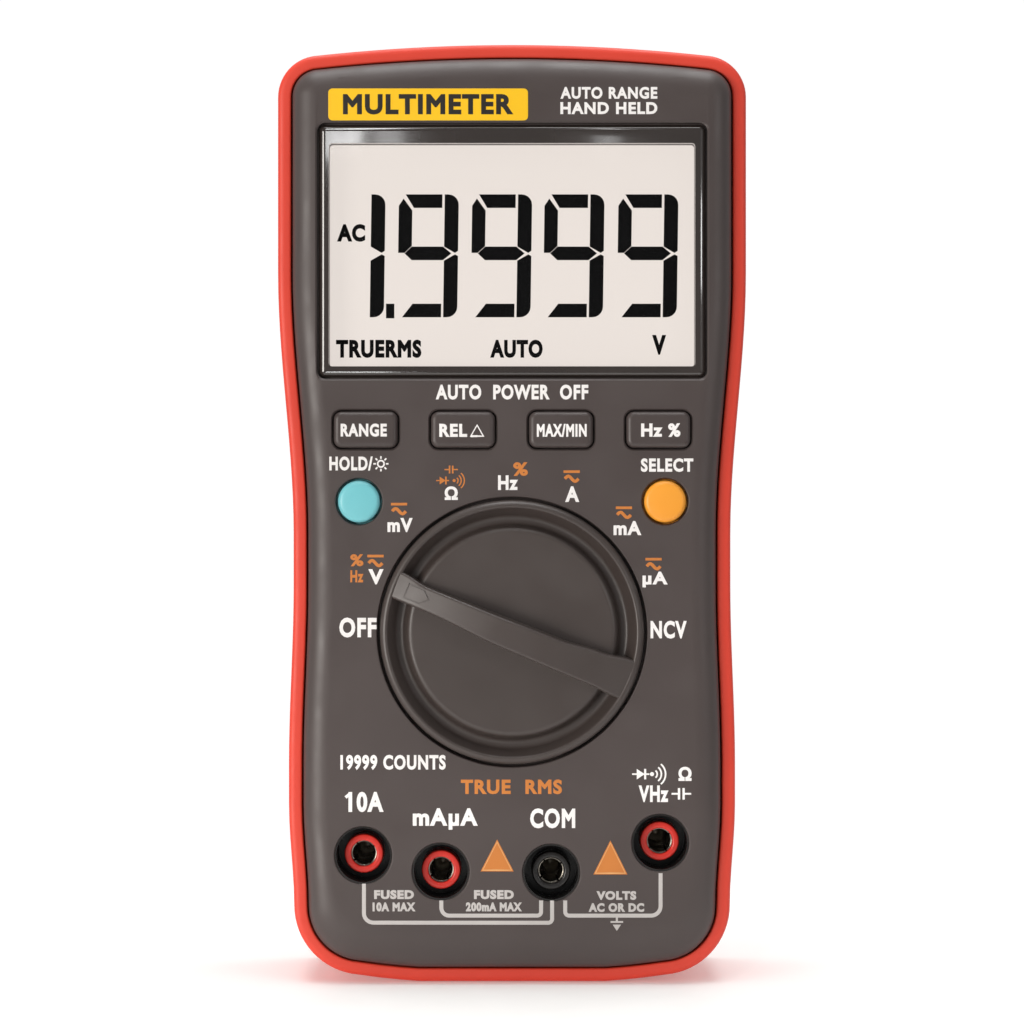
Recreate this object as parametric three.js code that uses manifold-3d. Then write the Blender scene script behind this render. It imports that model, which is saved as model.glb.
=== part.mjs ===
// Digital multimeter, handheld, with a rubber boot: every moulding, contact and fastener as its own mesh.
// Millimetres. +Z runs up the length of the meter, the display side faces -Y, and +X is to the right of it.
// The origin is the middle of the bottom end, midway between the front of the knob and the back of the boot.

import * as THREE from "three";
import { mergeVertices } from "three/addons/utils/BufferGeometryUtils.js";
import Module from "manifold-3d";

const wasm = await Module();
wasm.setup();

// ---------------------------------------------------------------- driving dimensions

const LENGTH = 180;
const HALF_DEPTH = 23.5; // the knob's crest and the boot's back are this far from the origin

// Plan outline of the boot: half widths at the display, the waist and the jack end, and its corners.
const HEAD_HALF = 45;
const WAIST_HALF = 42;
const HEEL_HALF = 42.9;
const BASE_HALF = 41.9;
const HEAD_Z = 136; // the sides start to draw in here
const WAIST_Z = [86, 76];
const HEEL_Z = [42, 34];
const TOP_ARC_R = 345;
const TOP_CORNER_R = 8;
const BASE_CORNER_R = 13.4;
const BASE_CORNER_Z = 14.6;
const BASE_FLAT_HALF = 18; // the flat that the meter stands on
const BASE_SLOPE = THREE.MathUtils.degToRad(4.6);

// Walls and the stack of levels from front to back.
const GAP = 0.3; // play between pieces that meet
const WALL = 2.2;
const BOOT_WALL = 2.6;
const CASE_INSET = BOOT_WALL + GAP;
const CAVITY_INSET = CASE_INSET + WALL;
const FACE_Y = -17.5;
const FACE_ROLL = 4.6; // how far in from the boot the face is rounded over
const FACE_ROLL_DEPTH = 4;
const BOOT_FRONT_Y = -13.5;
const CASE_BACK_Y = 21.5;
const BOOT_BACK_Y = HALF_DEPTH;
const BOOT_LIP = 5.5; // how far the boot wraps over the back
const PARTING_GAP = 0.1; // each shell stops this far from the parting plane
const PCB_FRONT_Y = -5.5;
const PCB_BACK_Y = -3.9;

// Display.
const WINDOW = { x: 0.05, z: 140.05, width: 73.9, height: 48.3, corner: 1.3 };
const LCD_VIEW = { x: 0, z: 139.3, width: 69.9, height: 42.6, corner: 0.6 };
const LCD_FRAME = { x: 0, z: 139.3, width: 76, height: 52, corner: 1.5 };

// Selector.
const KNOB_Z = 67.3;
const KNOB_R = 25.2;
const KNOB_WELL_R = 25.85;
const KNOB_ANGLE = THREE.MathUtils.degToRad(157.5); // the pointer rests at the volts position
const STEP_ANGLE = THREE.MathUtils.degToRad(22.5);
const WELL_FLOOR_Y = [-14.5, -12.5];
const HUB_R = 8;
const ROTOR_R = 21;
const ROTOR_Y = [-12.2, -9.2];
const DETENT_RING_R = 22.2;

// Buttons: name, centre x and z, and cap size. The round ones give a radius.
const RECT_CAP = { width: 12.9, height: 7.7, corner: 1.5 };
const ROUND_CAP_R = 4.45;
const BUTTON_PROUD = 0.9;
const BUTTON_TRAVEL = 1;
const KEY_ROW_Z = 105.9;
const KEYS = [
  { name: "range", x: -27.9, z: KEY_ROW_Z },
  { name: "relative", x: -9.35, z: KEY_ROW_Z },
  { name: "maxmin", x: 9.35, z: KEY_ROW_Z },
  { name: "frequency", x: 27.9, z: KEY_ROW_Z },
  { name: "hold", x: -29.2, z: 92.2, round: true },
  { name: "select", x: 29.2, z: 92.2, round: true },
];

// Jacks.
const JACK_WELL_R = 5.45;
const JACK_COLLAR_R = 3.75;
const JACK_BORE_R = 2.05;
const JACK_MOUTH_Y = FACE_Y + 3.5; // the collars sit well below the face
const JACK_MOUTH_WALL = 1;
const JACKS = [
  { name: "10a", x: -28.4, z: 24.7, red: true },
  { name: "ma", x: -13.6, z: 21.6, red: true },
  { name: "com", x: 7.5, z: 21.4, red: false },
  { name: "volts", x: 28.3, z: 27.1, red: true },
];

// Case screws, battery bay, door and stand.
const SCREWS = [
  { name: "upper_left", x: -32, z: 170.2 },
  { name: "upper_right", x: 32, z: 170.2 },
  { name: "lower_left", x: -27, z: 11.8 },
  { name: "lower_right", x: 27, z: 11.8 },
];
const SCREW_SEAT_Y = 9;
const SCREW_SHANK_R = 1.5;
const SCREW_HEAD_R = 2.8;
const CELL = { r: 7.1, length: 50.5, x: 7.5, y: 11.8, z: 43.7 };
const BAY = { halfWidth: 15.6, low: 41, high: 97, wall: 1.4, floor: [3, 4.2] };
const DOOR = { halfWidth: 19.5, low: 38.5, high: 108, front: 19.5, back: 21.4, screwZ: 103 };
const STAND = { halfWidth: 31, armWidth: 8, low: 26, hingeZ: 122, front: 18.8, back: 21.4 };
const STAND_PIN_R = 0.8;
const TRAY_FLOOR_Y = [16.4, 18.6];

// ---------------------------------------------------------------- finishes

const finish = (color, roughness, metalness = 0) => ({ color, roughness, metalness });
const FINISHES = {
  boot: finish(0xd9472f, 0.62),
  caseGrey: finish(0x574b48, 0.55),
  knobGrey: finish(0x4c4442, 0.5),
  window: finish(0xd8dcd8, 0.08),
  lcd: finish(0xd6cfc6, 0.2),
  lightGuide: finish(0xeef2ee, 0.35),
  greyPlastic: finish(0x8f8a86, 0.5),
  elastomer: finish(0x35312f, 0.8),
  board: finish(0x1f5c38, 0.45),
  brass: finish(0xc9a04a, 0.3, 1),
  nickel: finish(0xb9b6ae, 0.28, 1),
  steel: finish(0x8d8d90, 0.35, 1),
  keyGrey: finish(0x5a4f4c, 0.5),
  keyTeal: finish(0x7ec5cc, 0.45),
  keyAmber: finish(0xf1a53a, 0.45),
  jackRed: finish(0xd63c30, 0.4),
  jackBlack: finish(0x1b1817, 0.4),
  ceramic: finish(0xe8e2d4, 0.5),
  glass: finish(0xdfe8e6, 0.08),
  chip: finish(0x1c1b1b, 0.5),
  cell: finish(0x2b2b30, 0.35, 0.4),
};

function material(name) {
  return new THREE.MeshStandardMaterial(FINISHES[name]);
}

// ---------------------------------------------------------------- solids

const CIRCLE_STEPS = 16;

/** A closed three.js geometry as a solid that can be joined and cut. */
function solid(geometry) {
  geometry.deleteAttribute("normal");
  geometry.deleteAttribute("uv");
  const merged = mergeVertices(geometry, 1e-4);
  const vertProperties = merged.attributes.position.array;
  const triVerts = new Uint32Array(merged.index.array);
  return new wasm.Manifold(new wasm.Mesh({ numProp: 3, vertProperties, triVerts }));
}

/** A solid back as a geometry with flat facets. */
function geometryOf(body) {
  const { vertProperties, triVerts } = body.getMesh();
  const indexed = new THREE.BufferGeometry();
  indexed.setAttribute("position", new THREE.BufferAttribute(vertProperties, 3));
  indexed.setIndex(new THREE.BufferAttribute(triVerts, 1));
  const facets = indexed.toNonIndexed();
  facets.computeVertexNormals();
  return facets;
}

const join = (first, ...others) => others.reduce((whole, piece) => whole.add(piece), first);
const cut = (first, ...others) => others.reduce((whole, piece) => whole.subtract(piece), first);

/** A flat outline in x and z, extruded from one y level to another, with rounded edges if asked. */
function slab(shape, front, back, round = {}) {
  const { inward = 0, depth = 0, steps = 3, curve = 4 } = round;
  const geometry = new THREE.ExtrudeGeometry(shape, {
    depth: back - front - 2 * depth,
    curveSegments: curve,
    bevelEnabled: inward > 0,
    bevelThickness: depth,
    bevelSize: inward,
    bevelOffset: -inward,
    bevelSegments: steps,
  });
  geometry.rotateX(Math.PI / 2);
  geometry.translate(0, back - depth, 0);
  return solid(geometry);
}

/** A rounded rectangle, wider by grow on every side. */
function roundedRect({ x, z, width, height, corner }, grow = 0) {
  const right = width / 2 + grow;
  const top = height / 2 + grow;
  const r = corner + grow;
  const shape = new THREE.Shape();
  shape.absarc(x + right - r, z - top + r, r, -Math.PI / 2, 0);
  shape.absarc(x + right - r, z + top - r, r, 0, Math.PI / 2);
  shape.absarc(x - right + r, z + top - r, r, Math.PI / 2, Math.PI);
  shape.absarc(x - right + r, z - top + r, r, Math.PI, 1.5 * Math.PI);
  shape.closePath();
  return shape;
}

/** A box between two corners. */
function block([x0, y0, z0], [x1, y1, z1]) {
  const geometry = new THREE.BoxGeometry(x1 - x0, y1 - y0, z1 - z0);
  geometry.translate((x0 + x1) / 2, (y0 + y1) / 2, (z0 + z1) / 2);
  return solid(geometry);
}

/** A turned piece about a line along y through x and z, from a profile of [radius, y] points. */
function turned(profile, x = 0, z = 0, steps = CIRCLE_STEPS) {
  const points = profile.map(([r, y]) => new THREE.Vector2(r, y));
  const geometry = new THREE.LatheGeometry(points, steps);
  geometry.translate(x, 0, z);
  return solid(geometry);
}

/** A plain round bar along y. */
function disc(r, front, back, x = 0, z = 0, steps = CIRCLE_STEPS) {
  return turned([[0, front], [r, front], [r, back], [0, back]], x, z, steps);
}

/** A round bar along x. */
function rodX(r, x0, x1, y, z, steps = 12) {
  const geometry = new THREE.CylinderGeometry(r, r, x1 - x0, steps);
  geometry.rotateZ(Math.PI / 2);
  geometry.translate((x0 + x1) / 2, y, z);
  return solid(geometry);
}

/** A helical wire along z whose radius runs from one value to another. */
class HelixCurve extends THREE.Curve {
  constructor(turns, startR, endR, height) {
    super();
    Object.assign(this, { turns, startR, endR, height });
  }

  getPoint(t, target = new THREE.Vector3()) {
    const angle = 2 * Math.PI * this.turns * t;
    const r = THREE.MathUtils.lerp(this.startR, this.endR, t);
    return target.set(r * Math.cos(angle), r * Math.sin(angle), this.height * t);
  }
}

/** A tube of round wire along a curve. */
function wire(curve, r, steps, sides = 6) {
  const section = new THREE.Shape();
  section.absarc(0, 0, r, 0, 2 * Math.PI);
  const options = { steps, curveSegments: sides / 2, extrudePath: curve, bevelEnabled: false };
  return new THREE.ExtrudeGeometry(section, options);
}

// ---------------------------------------------------------------- the plan outline

/** An S-shaped stretch of the side, with both ends running along the length. */
function drawIn(path, fromX, fromZ, toX, toZ) {
  const third = (toZ - fromZ) / 3;
  path.bezierCurveTo(fromX, fromZ + third, toX, toZ - third, toX, toZ);
}

/** The right half of the boot's outline, from the standing flat up to the top of the middle line. */
function rightHalf() {
  const path = new THREE.Path();
  const cornerX = BASE_HALF - BASE_CORNER_R;
  const start = BASE_SLOPE - Math.PI / 2;
  const joinX = cornerX + BASE_CORNER_R * Math.cos(start);
  const joinZ = BASE_CORNER_Z + BASE_CORNER_R * Math.sin(start);
  const topX = HEAD_HALF - TOP_CORNER_R;
  const topCentreZ = LENGTH - TOP_ARC_R;
  const topZ = topCentreZ + Math.sqrt((TOP_ARC_R - TOP_CORNER_R) ** 2 - topX ** 2);
  const topAngle = Math.atan2(topZ - topCentreZ, topX);
  path.moveTo(BASE_FLAT_HALF, 0);
  path.quadraticCurveTo((BASE_FLAT_HALF + joinX) / 2, joinZ * 0.3, joinX, joinZ);
  path.absarc(cornerX, BASE_CORNER_Z, BASE_CORNER_R, start, 0);
  drawIn(path, BASE_HALF, BASE_CORNER_Z, HEEL_HALF, HEEL_Z[1]);
  path.lineTo(HEEL_HALF, HEEL_Z[0]);
  drawIn(path, HEEL_HALF, HEEL_Z[0], WAIST_HALF, WAIST_Z[1]);
  path.lineTo(WAIST_HALF, WAIST_Z[0]);
  drawIn(path, WAIST_HALF, WAIST_Z[0], HEAD_HALF, HEAD_Z);
  path.lineTo(HEAD_HALF, topZ);
  path.absarc(topX, topZ, TOP_CORNER_R, 0, topAngle);
  path.absarc(0, topCentreZ, TOP_ARC_R, topAngle, Math.PI / 2);
  const points = path.getPoints(3);
  return points.filter((point, i) => i === 0 || point.distanceTo(points[i - 1]) > 1e-3);
}

/** The whole outline, moved in by inset along the normal at each point. */
function caseOutline(inset) {
  const right = rightHalf();
  const left = right.slice(0, -1).map((p) => new THREE.Vector2(-p.x, p.y));
  const loop = [...right, ...left.reverse()];
  const moved = loop.map((point, i) => {
    const before = point.clone().sub(loop.at(i - 1)).normalize();
    const after = loop[(i + 1) % loop.length].clone().sub(point).normalize();
    const normal = new THREE.Vector2(-before.y - after.y, before.x + after.x).normalize();
    const stretch = 1 / normal.dot(new THREE.Vector2(-after.y, after.x));
    return point.clone().addScaledVector(normal, inset * stretch);
  });
  return new THREE.Shape(moved);
}

// ---------------------------------------------------------------- mouldings

/** One end of the case as a slab with a rounded edge, cut off square at the parting plane. */
function shellSlab(inset, front, back, round) {
  const beyond = 2 * HALF_DEPTH;
  const rounded = front < 0
    ? slab(caseOutline(inset), front, beyond, round)
    : slab(caseOutline(inset), -beyond, back, round);
  const keep = block([-HEAD_HALF, front, 0], [HEAD_HALF, back, LENGTH]);
  return rounded.intersect(keep);
}

function buttonHole(key) {
  const past = [FACE_Y - 1, FACE_Y + WALL + 1];
  if (key.round) return disc(ROUND_CAP_R + GAP, ...past, key.x, key.z);
  return slab(roundedRect({ ...RECT_CAP, x: key.x, z: key.z }, GAP), ...past);
}

function detentNotches() {
  const count = Math.round((2 * Math.PI) / STEP_ANGLE);
  return Array.from({ length: count }, (_, i) => {
    const x = DETENT_RING_R * Math.cos(i * STEP_ANGLE);
    const z = KNOB_Z + DETENT_RING_R * Math.sin(i * STEP_ANGLE);
    return disc(1.3, WELL_FLOOR_Y[1], ROTOR_Y[1] + 1, x, z, 6);
  });
}

function frontCase() {
  const inner = FACE_Y + WALL;
  const roll = { inward: FACE_ROLL, depth: FACE_ROLL_DEPTH, steps: 3 };
  const cavityRoll = { inward: 2, depth: 2.5, steps: 1 };
  const shell = cut(
    shellSlab(CASE_INSET, FACE_Y, -PARTING_GAP, roll),
    shellSlab(CAVITY_INSET, inner, 1, cavityRoll),
  );
  const bossTop = inner - 0.2;
  const bosses = SCREWS.map(({ x, z }) => disc(3, bossTop, -PARTING_GAP, x, z, 12));
  const wells = JACKS.map(({ x, z }) => disc(JACK_WELL_R + 1.4, bossTop, -6, x, z));
  const displayFrame = slab(roundedRect(LCD_FRAME), bossTop, -13.5);
  const knobWell = disc(KNOB_WELL_R + 1.6, bossTop, WELL_FLOOR_Y[1], 0, KNOB_Z, 32);
  const detentRing = disc(DETENT_RING_R + 1.8, WELL_FLOOR_Y[0], ROTOR_Y[1], 0, KNOB_Z, 32);
  const body = join(shell, ...bosses, ...wells, displayFrame, knobWell, detentRing);
  return cut(
    body,
    slab(roundedRect(WINDOW, GAP), FACE_Y - 1, -15.7),
    slab(roundedRect(LCD_VIEW), FACE_Y - 1, -13),
    disc(KNOB_WELL_R, FACE_Y - 1, WELL_FLOOR_Y[0], 0, KNOB_Z, 40),
    disc(HUB_R + 0.6, FACE_Y - 1, -12, 0, KNOB_Z, 16),
    disc(DETENT_RING_R, WELL_FLOOR_Y[1], ROTOR_Y[1] + 1, 0, KNOB_Z, 32),
    ...detentNotches(),
    ...JACKS.map(({ x, z }) => disc(JACK_WELL_R, FACE_Y - 1, -5, x, z)),
    ...KEYS.map(buttonHole),
    ...SCREWS.map(({ x, z }) => disc(SCREW_SHANK_R + GAP, -10, 1, x, z, 12)),
  );
}

/** The pocket that the folded stand lies in: a U round the island that holds the battery door. */
function standPocket() {
  const outer = STAND.halfWidth + GAP;
  const island = STAND.halfWidth - STAND.armWidth - 0.5;
  const low = STAND.low - GAP;
  const high = STAND.hingeZ + 2.3;
  const whole = block([-outer, TRAY_FLOOR_Y[1], low], [outer, CASE_BACK_Y + 1, high]);
  const centre = block([-island, 0, DOOR.low - 2], [island, HALF_DEPTH, high + 1]);
  const fingerScoop = block([-10, TRAY_FLOOR_Y[1], low - 5], [10, CASE_BACK_Y + 1, low + 1]);
  return join(whole.subtract(centre), fingerScoop);
}

function rearCase() {
  const inner = CASE_BACK_Y - WALL;
  const round = { inward: 2, depth: 2, steps: 1 };
  const shell = cut(
    shellSlab(CASE_INSET, PARTING_GAP, CASE_BACK_Y, round),
    slab(caseOutline(CAVITY_INSET), -1, inner),
  );
  const trayHalf = STAND.halfWidth + GAP + 2.8;
  const tray = block([-trayHalf, TRAY_FLOOR_Y[0], 18], [trayHalf, inner + 0.5, 127]);
  const bayOuter = BAY.halfWidth + BAY.wall;
  const bayBox = block(
    [-bayOuter, BAY.floor[0], BAY.low - BAY.wall],
    [bayOuter, TRAY_FLOOR_Y[0] + 1, BAY.high + BAY.wall],
  );
  const doorBoss = disc(3.4, 7, TRAY_FLOOR_Y[0] + 1, 0, DOOR.screwZ, 12);
  const bosses = SCREWS.map(({ x, z }) => disc(4.3, PARTING_GAP, inner + 0.5, x, z, 16));
  const body = join(shell, tray, bayBox, doorBoss, ...bosses);
  const doorGap = DOOR.halfWidth + GAP;
  return cut(
    body,
    standPocket(),
    block([-BAY.halfWidth, BAY.floor[1], BAY.low], [BAY.halfWidth, CASE_BACK_Y + 1, BAY.high]),
    block([-doorGap, DOOR.front - GAP, DOOR.low - GAP], [doorGap, CASE_BACK_Y + 1, DOOR.high + GAP]),
    disc(SCREW_SHANK_R + GAP, 8.5, CASE_BACK_Y + 1, 0, DOOR.screwZ, 12),
    rodX(STAND_PIN_R + GAP, -STAND.halfWidth - 2.2, STAND.halfWidth + 2.2, standHingeY(), STAND.hingeZ),
    ...SCREWS.map(({ x, z }) => disc(SCREW_SHANK_R + GAP, -1, CASE_BACK_Y + 1, x, z, 12)),
    ...SCREWS.map(({ x, z }) => disc(SCREW_HEAD_R + GAP, SCREW_SEAT_Y, CASE_BACK_Y + 1, x, z, 12)),
  );
}

function rubberBoot() {
  const round = { inward: 1.3, depth: 1.3, steps: 2 };
  return cut(
    slab(caseOutline(0), BOOT_FRONT_Y, BOOT_BACK_Y, round),
    slab(caseOutline(BOOT_WALL), BOOT_FRONT_Y - 1, CASE_BACK_Y + GAP),
    slab(caseOutline(BOOT_LIP), BOOT_FRONT_Y - 1, BOOT_BACK_Y + 1),
  );
}

function standHingeY() {
  return (STAND.front + STAND.back) / 2;
}

/** A U-shaped bail with a stub pin at the head of each arm. */
function tiltStand() {
  const { halfWidth, armWidth, low, hingeZ, front, back } = STAND;
  const inner = halfWidth - armWidth;
  const outline = new THREE.Shape();
  const r = 4;
  outline.moveTo(halfWidth, hingeZ);
  outline.lineTo(inner, hingeZ);
  outline.lineTo(inner, low + 10);
  outline.lineTo(-inner, low + 10);
  outline.lineTo(-inner, hingeZ);
  outline.lineTo(-halfWidth, hingeZ);
  outline.absarc(-halfWidth + r, low + r, r, Math.PI, 1.5 * Math.PI);
  outline.absarc(halfWidth - r, low + r, r, -Math.PI / 2, 0);
  outline.closePath();
  const knuckleR = (back - front) / 2;
  const y = standHingeY();
  return join(
    slab(outline, front, back),
    rodX(knuckleR, inner, halfWidth, y, hingeZ),
    rodX(knuckleR, -halfWidth, -inner, y, hingeZ),
    rodX(STAND_PIN_R, inner + 1, halfWidth + 1.9, y, hingeZ),
    rodX(STAND_PIN_R, -halfWidth - 1.9, -inner - 1, y, hingeZ),
  );
}

function batteryDoor() {
  const { halfWidth, low, high, front, back, screwZ } = DOOR;
  const height = high - low;
  const plate = roundedRect({ x: 0, z: (low + high) / 2, width: 2 * halfWidth, height, corner: 1 });
  return cut(
    slab(plate, front, back),
    disc(SCREW_SHANK_R + GAP, front - 1, back + 1, 0, screwZ, 12),
    disc(SCREW_HEAD_R + GAP, back - 0.9, back + 1, 0, screwZ, 12),
  );
}

/** A pan-head screw whose head ends at headBack and whose shank reaches forward to tip. */
function screw(seat, headBack, tip) {
  return geometryOf(turned([
    [0, tip],
    [SCREW_SHANK_R * 0.5, tip],
    [SCREW_SHANK_R, tip + 1.2],
    [SCREW_SHANK_R, seat],
    [SCREW_HEAD_R, seat],
    [SCREW_HEAD_R, headBack - 0.3],
    [SCREW_HEAD_R - 0.5, headBack],
    [0, headBack],
  ], 0, 0, 10));
}

// ---------------------------------------------------------------- selector

/** The knob's own frame: its axis is y, and its pointer lies along +x. */
function selectorKnob() {
  const back = WELL_FLOOR_Y[0] - GAP;
  const base = turned([
    [0, -18],
    [19.6, -18],
    [19.9, -17],
    [23, -17],
    [23.5, -18.4],
    [24.2, -18.9],
    [24.9, -18.4],
    [KNOB_R, -17.4],
    [KNOB_R, back],
    [HUB_R, back],
    [HUB_R, ROTOR_Y[1] + 0.5],
    [0, ROTOR_Y[1] + 0.5],
  ], 0, 0, 40);
  const waisted = [[23.6, -2.6], [18, -1.8], [8, -1.9], [-9, -2.2], [-17, -3], [-23.4, -3.9]];
  const straight = [[-23.4, 3.9], [-17, 3.5], [0, 3.3], [16, 2.6], [23.6, 2.7]];
  const side = (points) => new THREE.SplineCurve(points.map(([x, z]) => new THREE.Vector2(x, z)));
  const outline = new THREE.Shape([...side(waisted).getPoints(12), ...side(straight).getPoints(8)]);
  const bar = slab(outline, -HALF_DEPTH, back - 1, { inward: 0.8, depth: 0.9, steps: 2 });
  return join(base, bar);
}

function rotorDisc() {
  const ring = turned([
    [HUB_R + GAP, ROTOR_Y[0]],
    [ROTOR_R, ROTOR_Y[0]],
    [ROTOR_R, ROTOR_Y[1]],
    [HUB_R + GAP, ROTOR_Y[1]],
    [HUB_R + GAP, ROTOR_Y[0]],
  ], 0, 0, 32);
  const y = rotorMiddle();
  return cut(ring, rodX(1.35, 15, ROTOR_R + 1, y, 0, 8), rodX(1.35, -ROTOR_R - 1, -15, y, 0, 8));
}

function rotorMiddle() {
  return (ROTOR_Y[0] + ROTOR_Y[1]) / 2;
}

/** A spring-metal ring behind the rotor with four bent fingers that wipe the board. */
function rotorContacts() {
  const plate = [ROTOR_Y[1] + GAP, ROTOR_Y[1] + 0.7];
  const ring = turned([
    [10, plate[0]],
    [18, plate[0]],
    [18, plate[1]],
    [10, plate[1]],
    [10, plate[0]],
  ], 0, 0, 24);
  const fingers = [[14, 0], [-14, 0], [0, 14], [0, -14]].map(([x, z]) =>
    block([x - 1.5, plate[0], z - 1], [x + 1.5, PCB_FRONT_Y - 0.4, z + 1]));
  return join(ring, ...fingers);
}

// ---------------------------------------------------------------- buttons and switches

function buttonCap(key) {
  const front = FACE_Y - BUTTON_PROUD;
  const flange = [FACE_Y + WALL + GAP, FACE_Y + WALL + GAP + 1];
  const stem = block([-2, flange[0] + 0.5, -2], [2, PCB_FRONT_Y - 5.6, 2]);
  if (key.round) {
    const cap = turned([
      [0, front],
      [ROUND_CAP_R - 0.6, front],
      [ROUND_CAP_R, front + 0.5],
      [ROUND_CAP_R, flange[0] + 0.5],
      [0, flange[0] + 0.5],
    ]);
    return join(cap, disc(ROUND_CAP_R + 1, ...flange), stem);
  }
  const rect = { ...RECT_CAP, x: 0, z: 0 };
  const edge = { inward: 0.5, depth: 0.4, steps: 1, curve: 3 };
  const cap = slab(roundedRect(rect), front, flange[0] + 0.9, edge);
  return join(cap, slab(roundedRect(rect, 1), ...flange, { curve: 3 }), stem);
}

function tactSwitch() {
  const seat = PCB_FRONT_Y - GAP;
  return join(
    block([-3, seat - 3.2, -3], [3, seat, 3]),
    disc(1.7, PCB_FRONT_Y - 5.6 + BUTTON_TRAVEL + 0.2, seat - 3, 0, 0, 10),
  );
}

// ---------------------------------------------------------------- jacks

function jackCollar() {
  const mouth = JACK_MOUTH_Y;
  const foot = PCB_FRONT_Y - GAP;
  return turned([
    [JACK_BORE_R + 0.1, mouth],
    [JACK_COLLAR_R, mouth],
    [JACK_COLLAR_R, foot - 1.6],
    [JACK_WELL_R - GAP, foot - 1.6],
    [JACK_WELL_R - GAP, foot],
    [JACK_BORE_R + 0.9, foot],
    [JACK_BORE_R + 0.9, mouth + JACK_MOUTH_WALL],
    [JACK_BORE_R + 0.1, mouth + JACK_MOUTH_WALL],
    [JACK_BORE_R + 0.1, mouth],
  ]);
}

function jackSocket() {
  const front = JACK_MOUTH_Y + JACK_MOUTH_WALL + GAP;
  return turned([
    [JACK_BORE_R, front],
    [JACK_BORE_R + 0.6, front],
    [JACK_BORE_R + 0.6, 7],
    [0, 7],
    [0, 6],
    [JACK_BORE_R, 6],
    [JACK_BORE_R, front],
  ]);
}

// ---------------------------------------------------------------- display stack and board

function lcdHolder() {
  const levels = [-13.1, PCB_FRONT_Y - GAP];
  const opening = { ...LCD_FRAME, width: LCD_FRAME.width - 1.6, height: LCD_FRAME.height - 2, corner: 0.6 };
  return cut(
    slab(roundedRect(LCD_FRAME), ...levels),
    slab(roundedRect(opening), levels[0] - 1, levels[1] + 1),
  );
}

function mainBoard() {
  const levels = [PCB_FRONT_Y, PCB_BACK_Y];
  const sheet = slab(caseOutline(CAVITY_INSET + 1.2), ...levels);
  const span = block([-HEAD_HALF, levels[0], 9], [HEAD_HALF, levels[1], 166.3]);
  return cut(
    sheet.intersect(span),
    ...SCREWS.map(({ x, z }) => disc(3.5, levels[0] - 1, levels[1] + 1, x, z, 12)),
    ...JACKS.map(({ x, z }) => disc(JACK_BORE_R + 1, levels[0] - 1, levels[1] + 1, x, z, 12)),
  );
}

// ---------------------------------------------------------------- fuses, cells and their contacts

/** A round piece along z, from a profile of [radius, height] points. */
function upright(profile, steps = CIRCLE_STEPS) {
  const points = profile.map(([r, h]) => new THREE.Vector2(r, h));
  const geometry = new THREE.LatheGeometry(points, steps);
  geometry.rotateX(Math.PI / 2);
  return solid(geometry);
}

/** A cartridge fuse: a tube with a wider metal cap at each end. */
function fuse(r, length, capLength) {
  const tube = r - 0.3;
  return upright([
    [0, 0],
    [r, 0],
    [r, capLength],
    [tube, capLength],
    [tube, length - capLength],
    [r, length - capLength],
    [r, length],
    [0, length],
  ], 16);
}

/** A sprung clip that holds one fuse cap, open towards the back. */
function fuseClip(fuseR, width) {
  const inner = fuseR + GAP;
  const outer = inner + 0.5;
  const open = THREE.MathUtils.degToRad(50);
  const shape = new THREE.Shape();
  shape.absarc(0, 0, outer, Math.PI / 2 + open, 2.5 * Math.PI - open);
  shape.absarc(0, 0, inner, Math.PI / 2 - open, open - 1.5 * Math.PI, true);
  shape.closePath();
  const geometry = new THREE.ExtrudeGeometry(shape, {
    depth: width,
    curveSegments: 6,
    bevelEnabled: false,
  });
  return geometry;
}

/** An AA cell with its raised positive button at the upper end. */
function cell() {
  const { r, length } = CELL;
  return upright([
    [0, 0],
    [r - 0.6, 0],
    [r, 0.5],
    [r, length - 1.6],
    [r - 0.6, length - 1.1],
    [2.7, length - 1.1],
    [2.7, length],
    [0, length],
  ]);
}

/** A flat contact plate with a conical spring, standing up from the plate. */
function springPlate(halfWidth, springX) {
  const plate = block([-halfWidth, -5, 0], [halfWidth, 5, 0.5]);
  const coil = wire(new HelixCurve(2.2, 3.6, 2.4, 1.5), 0.3, 22);
  coil.translate(springX, 0, 0.6);
  return join(plate, solid(coil));
}

/** The pressed button that meets a cell's positive end, standing on a plate. */
function buttonAt(x) {
  return upright([[0, 0.3], [2.4, 0.3], [1.8, 1.3], [0, 1.3]], 12).translate([x, 0, 0]);
}

/** A flat contact plate with one pressed button. */
function buttonPlate() {
  return join(block([-5, -5, 0], [5, 5, 0.5]), buttonAt(0));
}

/** The thick U-shaped wire that the high current range flows through. */
function currentShunt() {
  const foot = PCB_BACK_Y + GAP;
  const curve = new THREE.CatmullRomCurve3([
    new THREE.Vector3(-6, foot, 0),
    new THREE.Vector3(-6, foot + 4, 0),
    new THREE.Vector3(-3, foot + 7, 0),
    new THREE.Vector3(3, foot + 7, 0),
    new THREE.Vector3(6, foot + 4, 0),
    new THREE.Vector3(6, foot, 0),
  ]);
  return wire(curve, 0.8, 16, 8);
}

// ---------------------------------------------------------------- assembly

const multimeter = new THREE.Group();

function group(parent, x = 0, y = 0, z = 0) {
  const made = new THREE.Group();
  made.position.set(x, y, z);
  parent.add(made);
  return made;
}

function place(parent, name, shape, finishName, x = 0, y = 0, z = 0) {
  const geometry = shape.isBufferGeometry ? shape : geometryOf(shape);
  const mesh = new THREE.Mesh(geometry, material(finishName));
  mesh.name = name;
  mesh.position.set(x, y, z);
  parent.add(mesh);
  return mesh;
}

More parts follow.
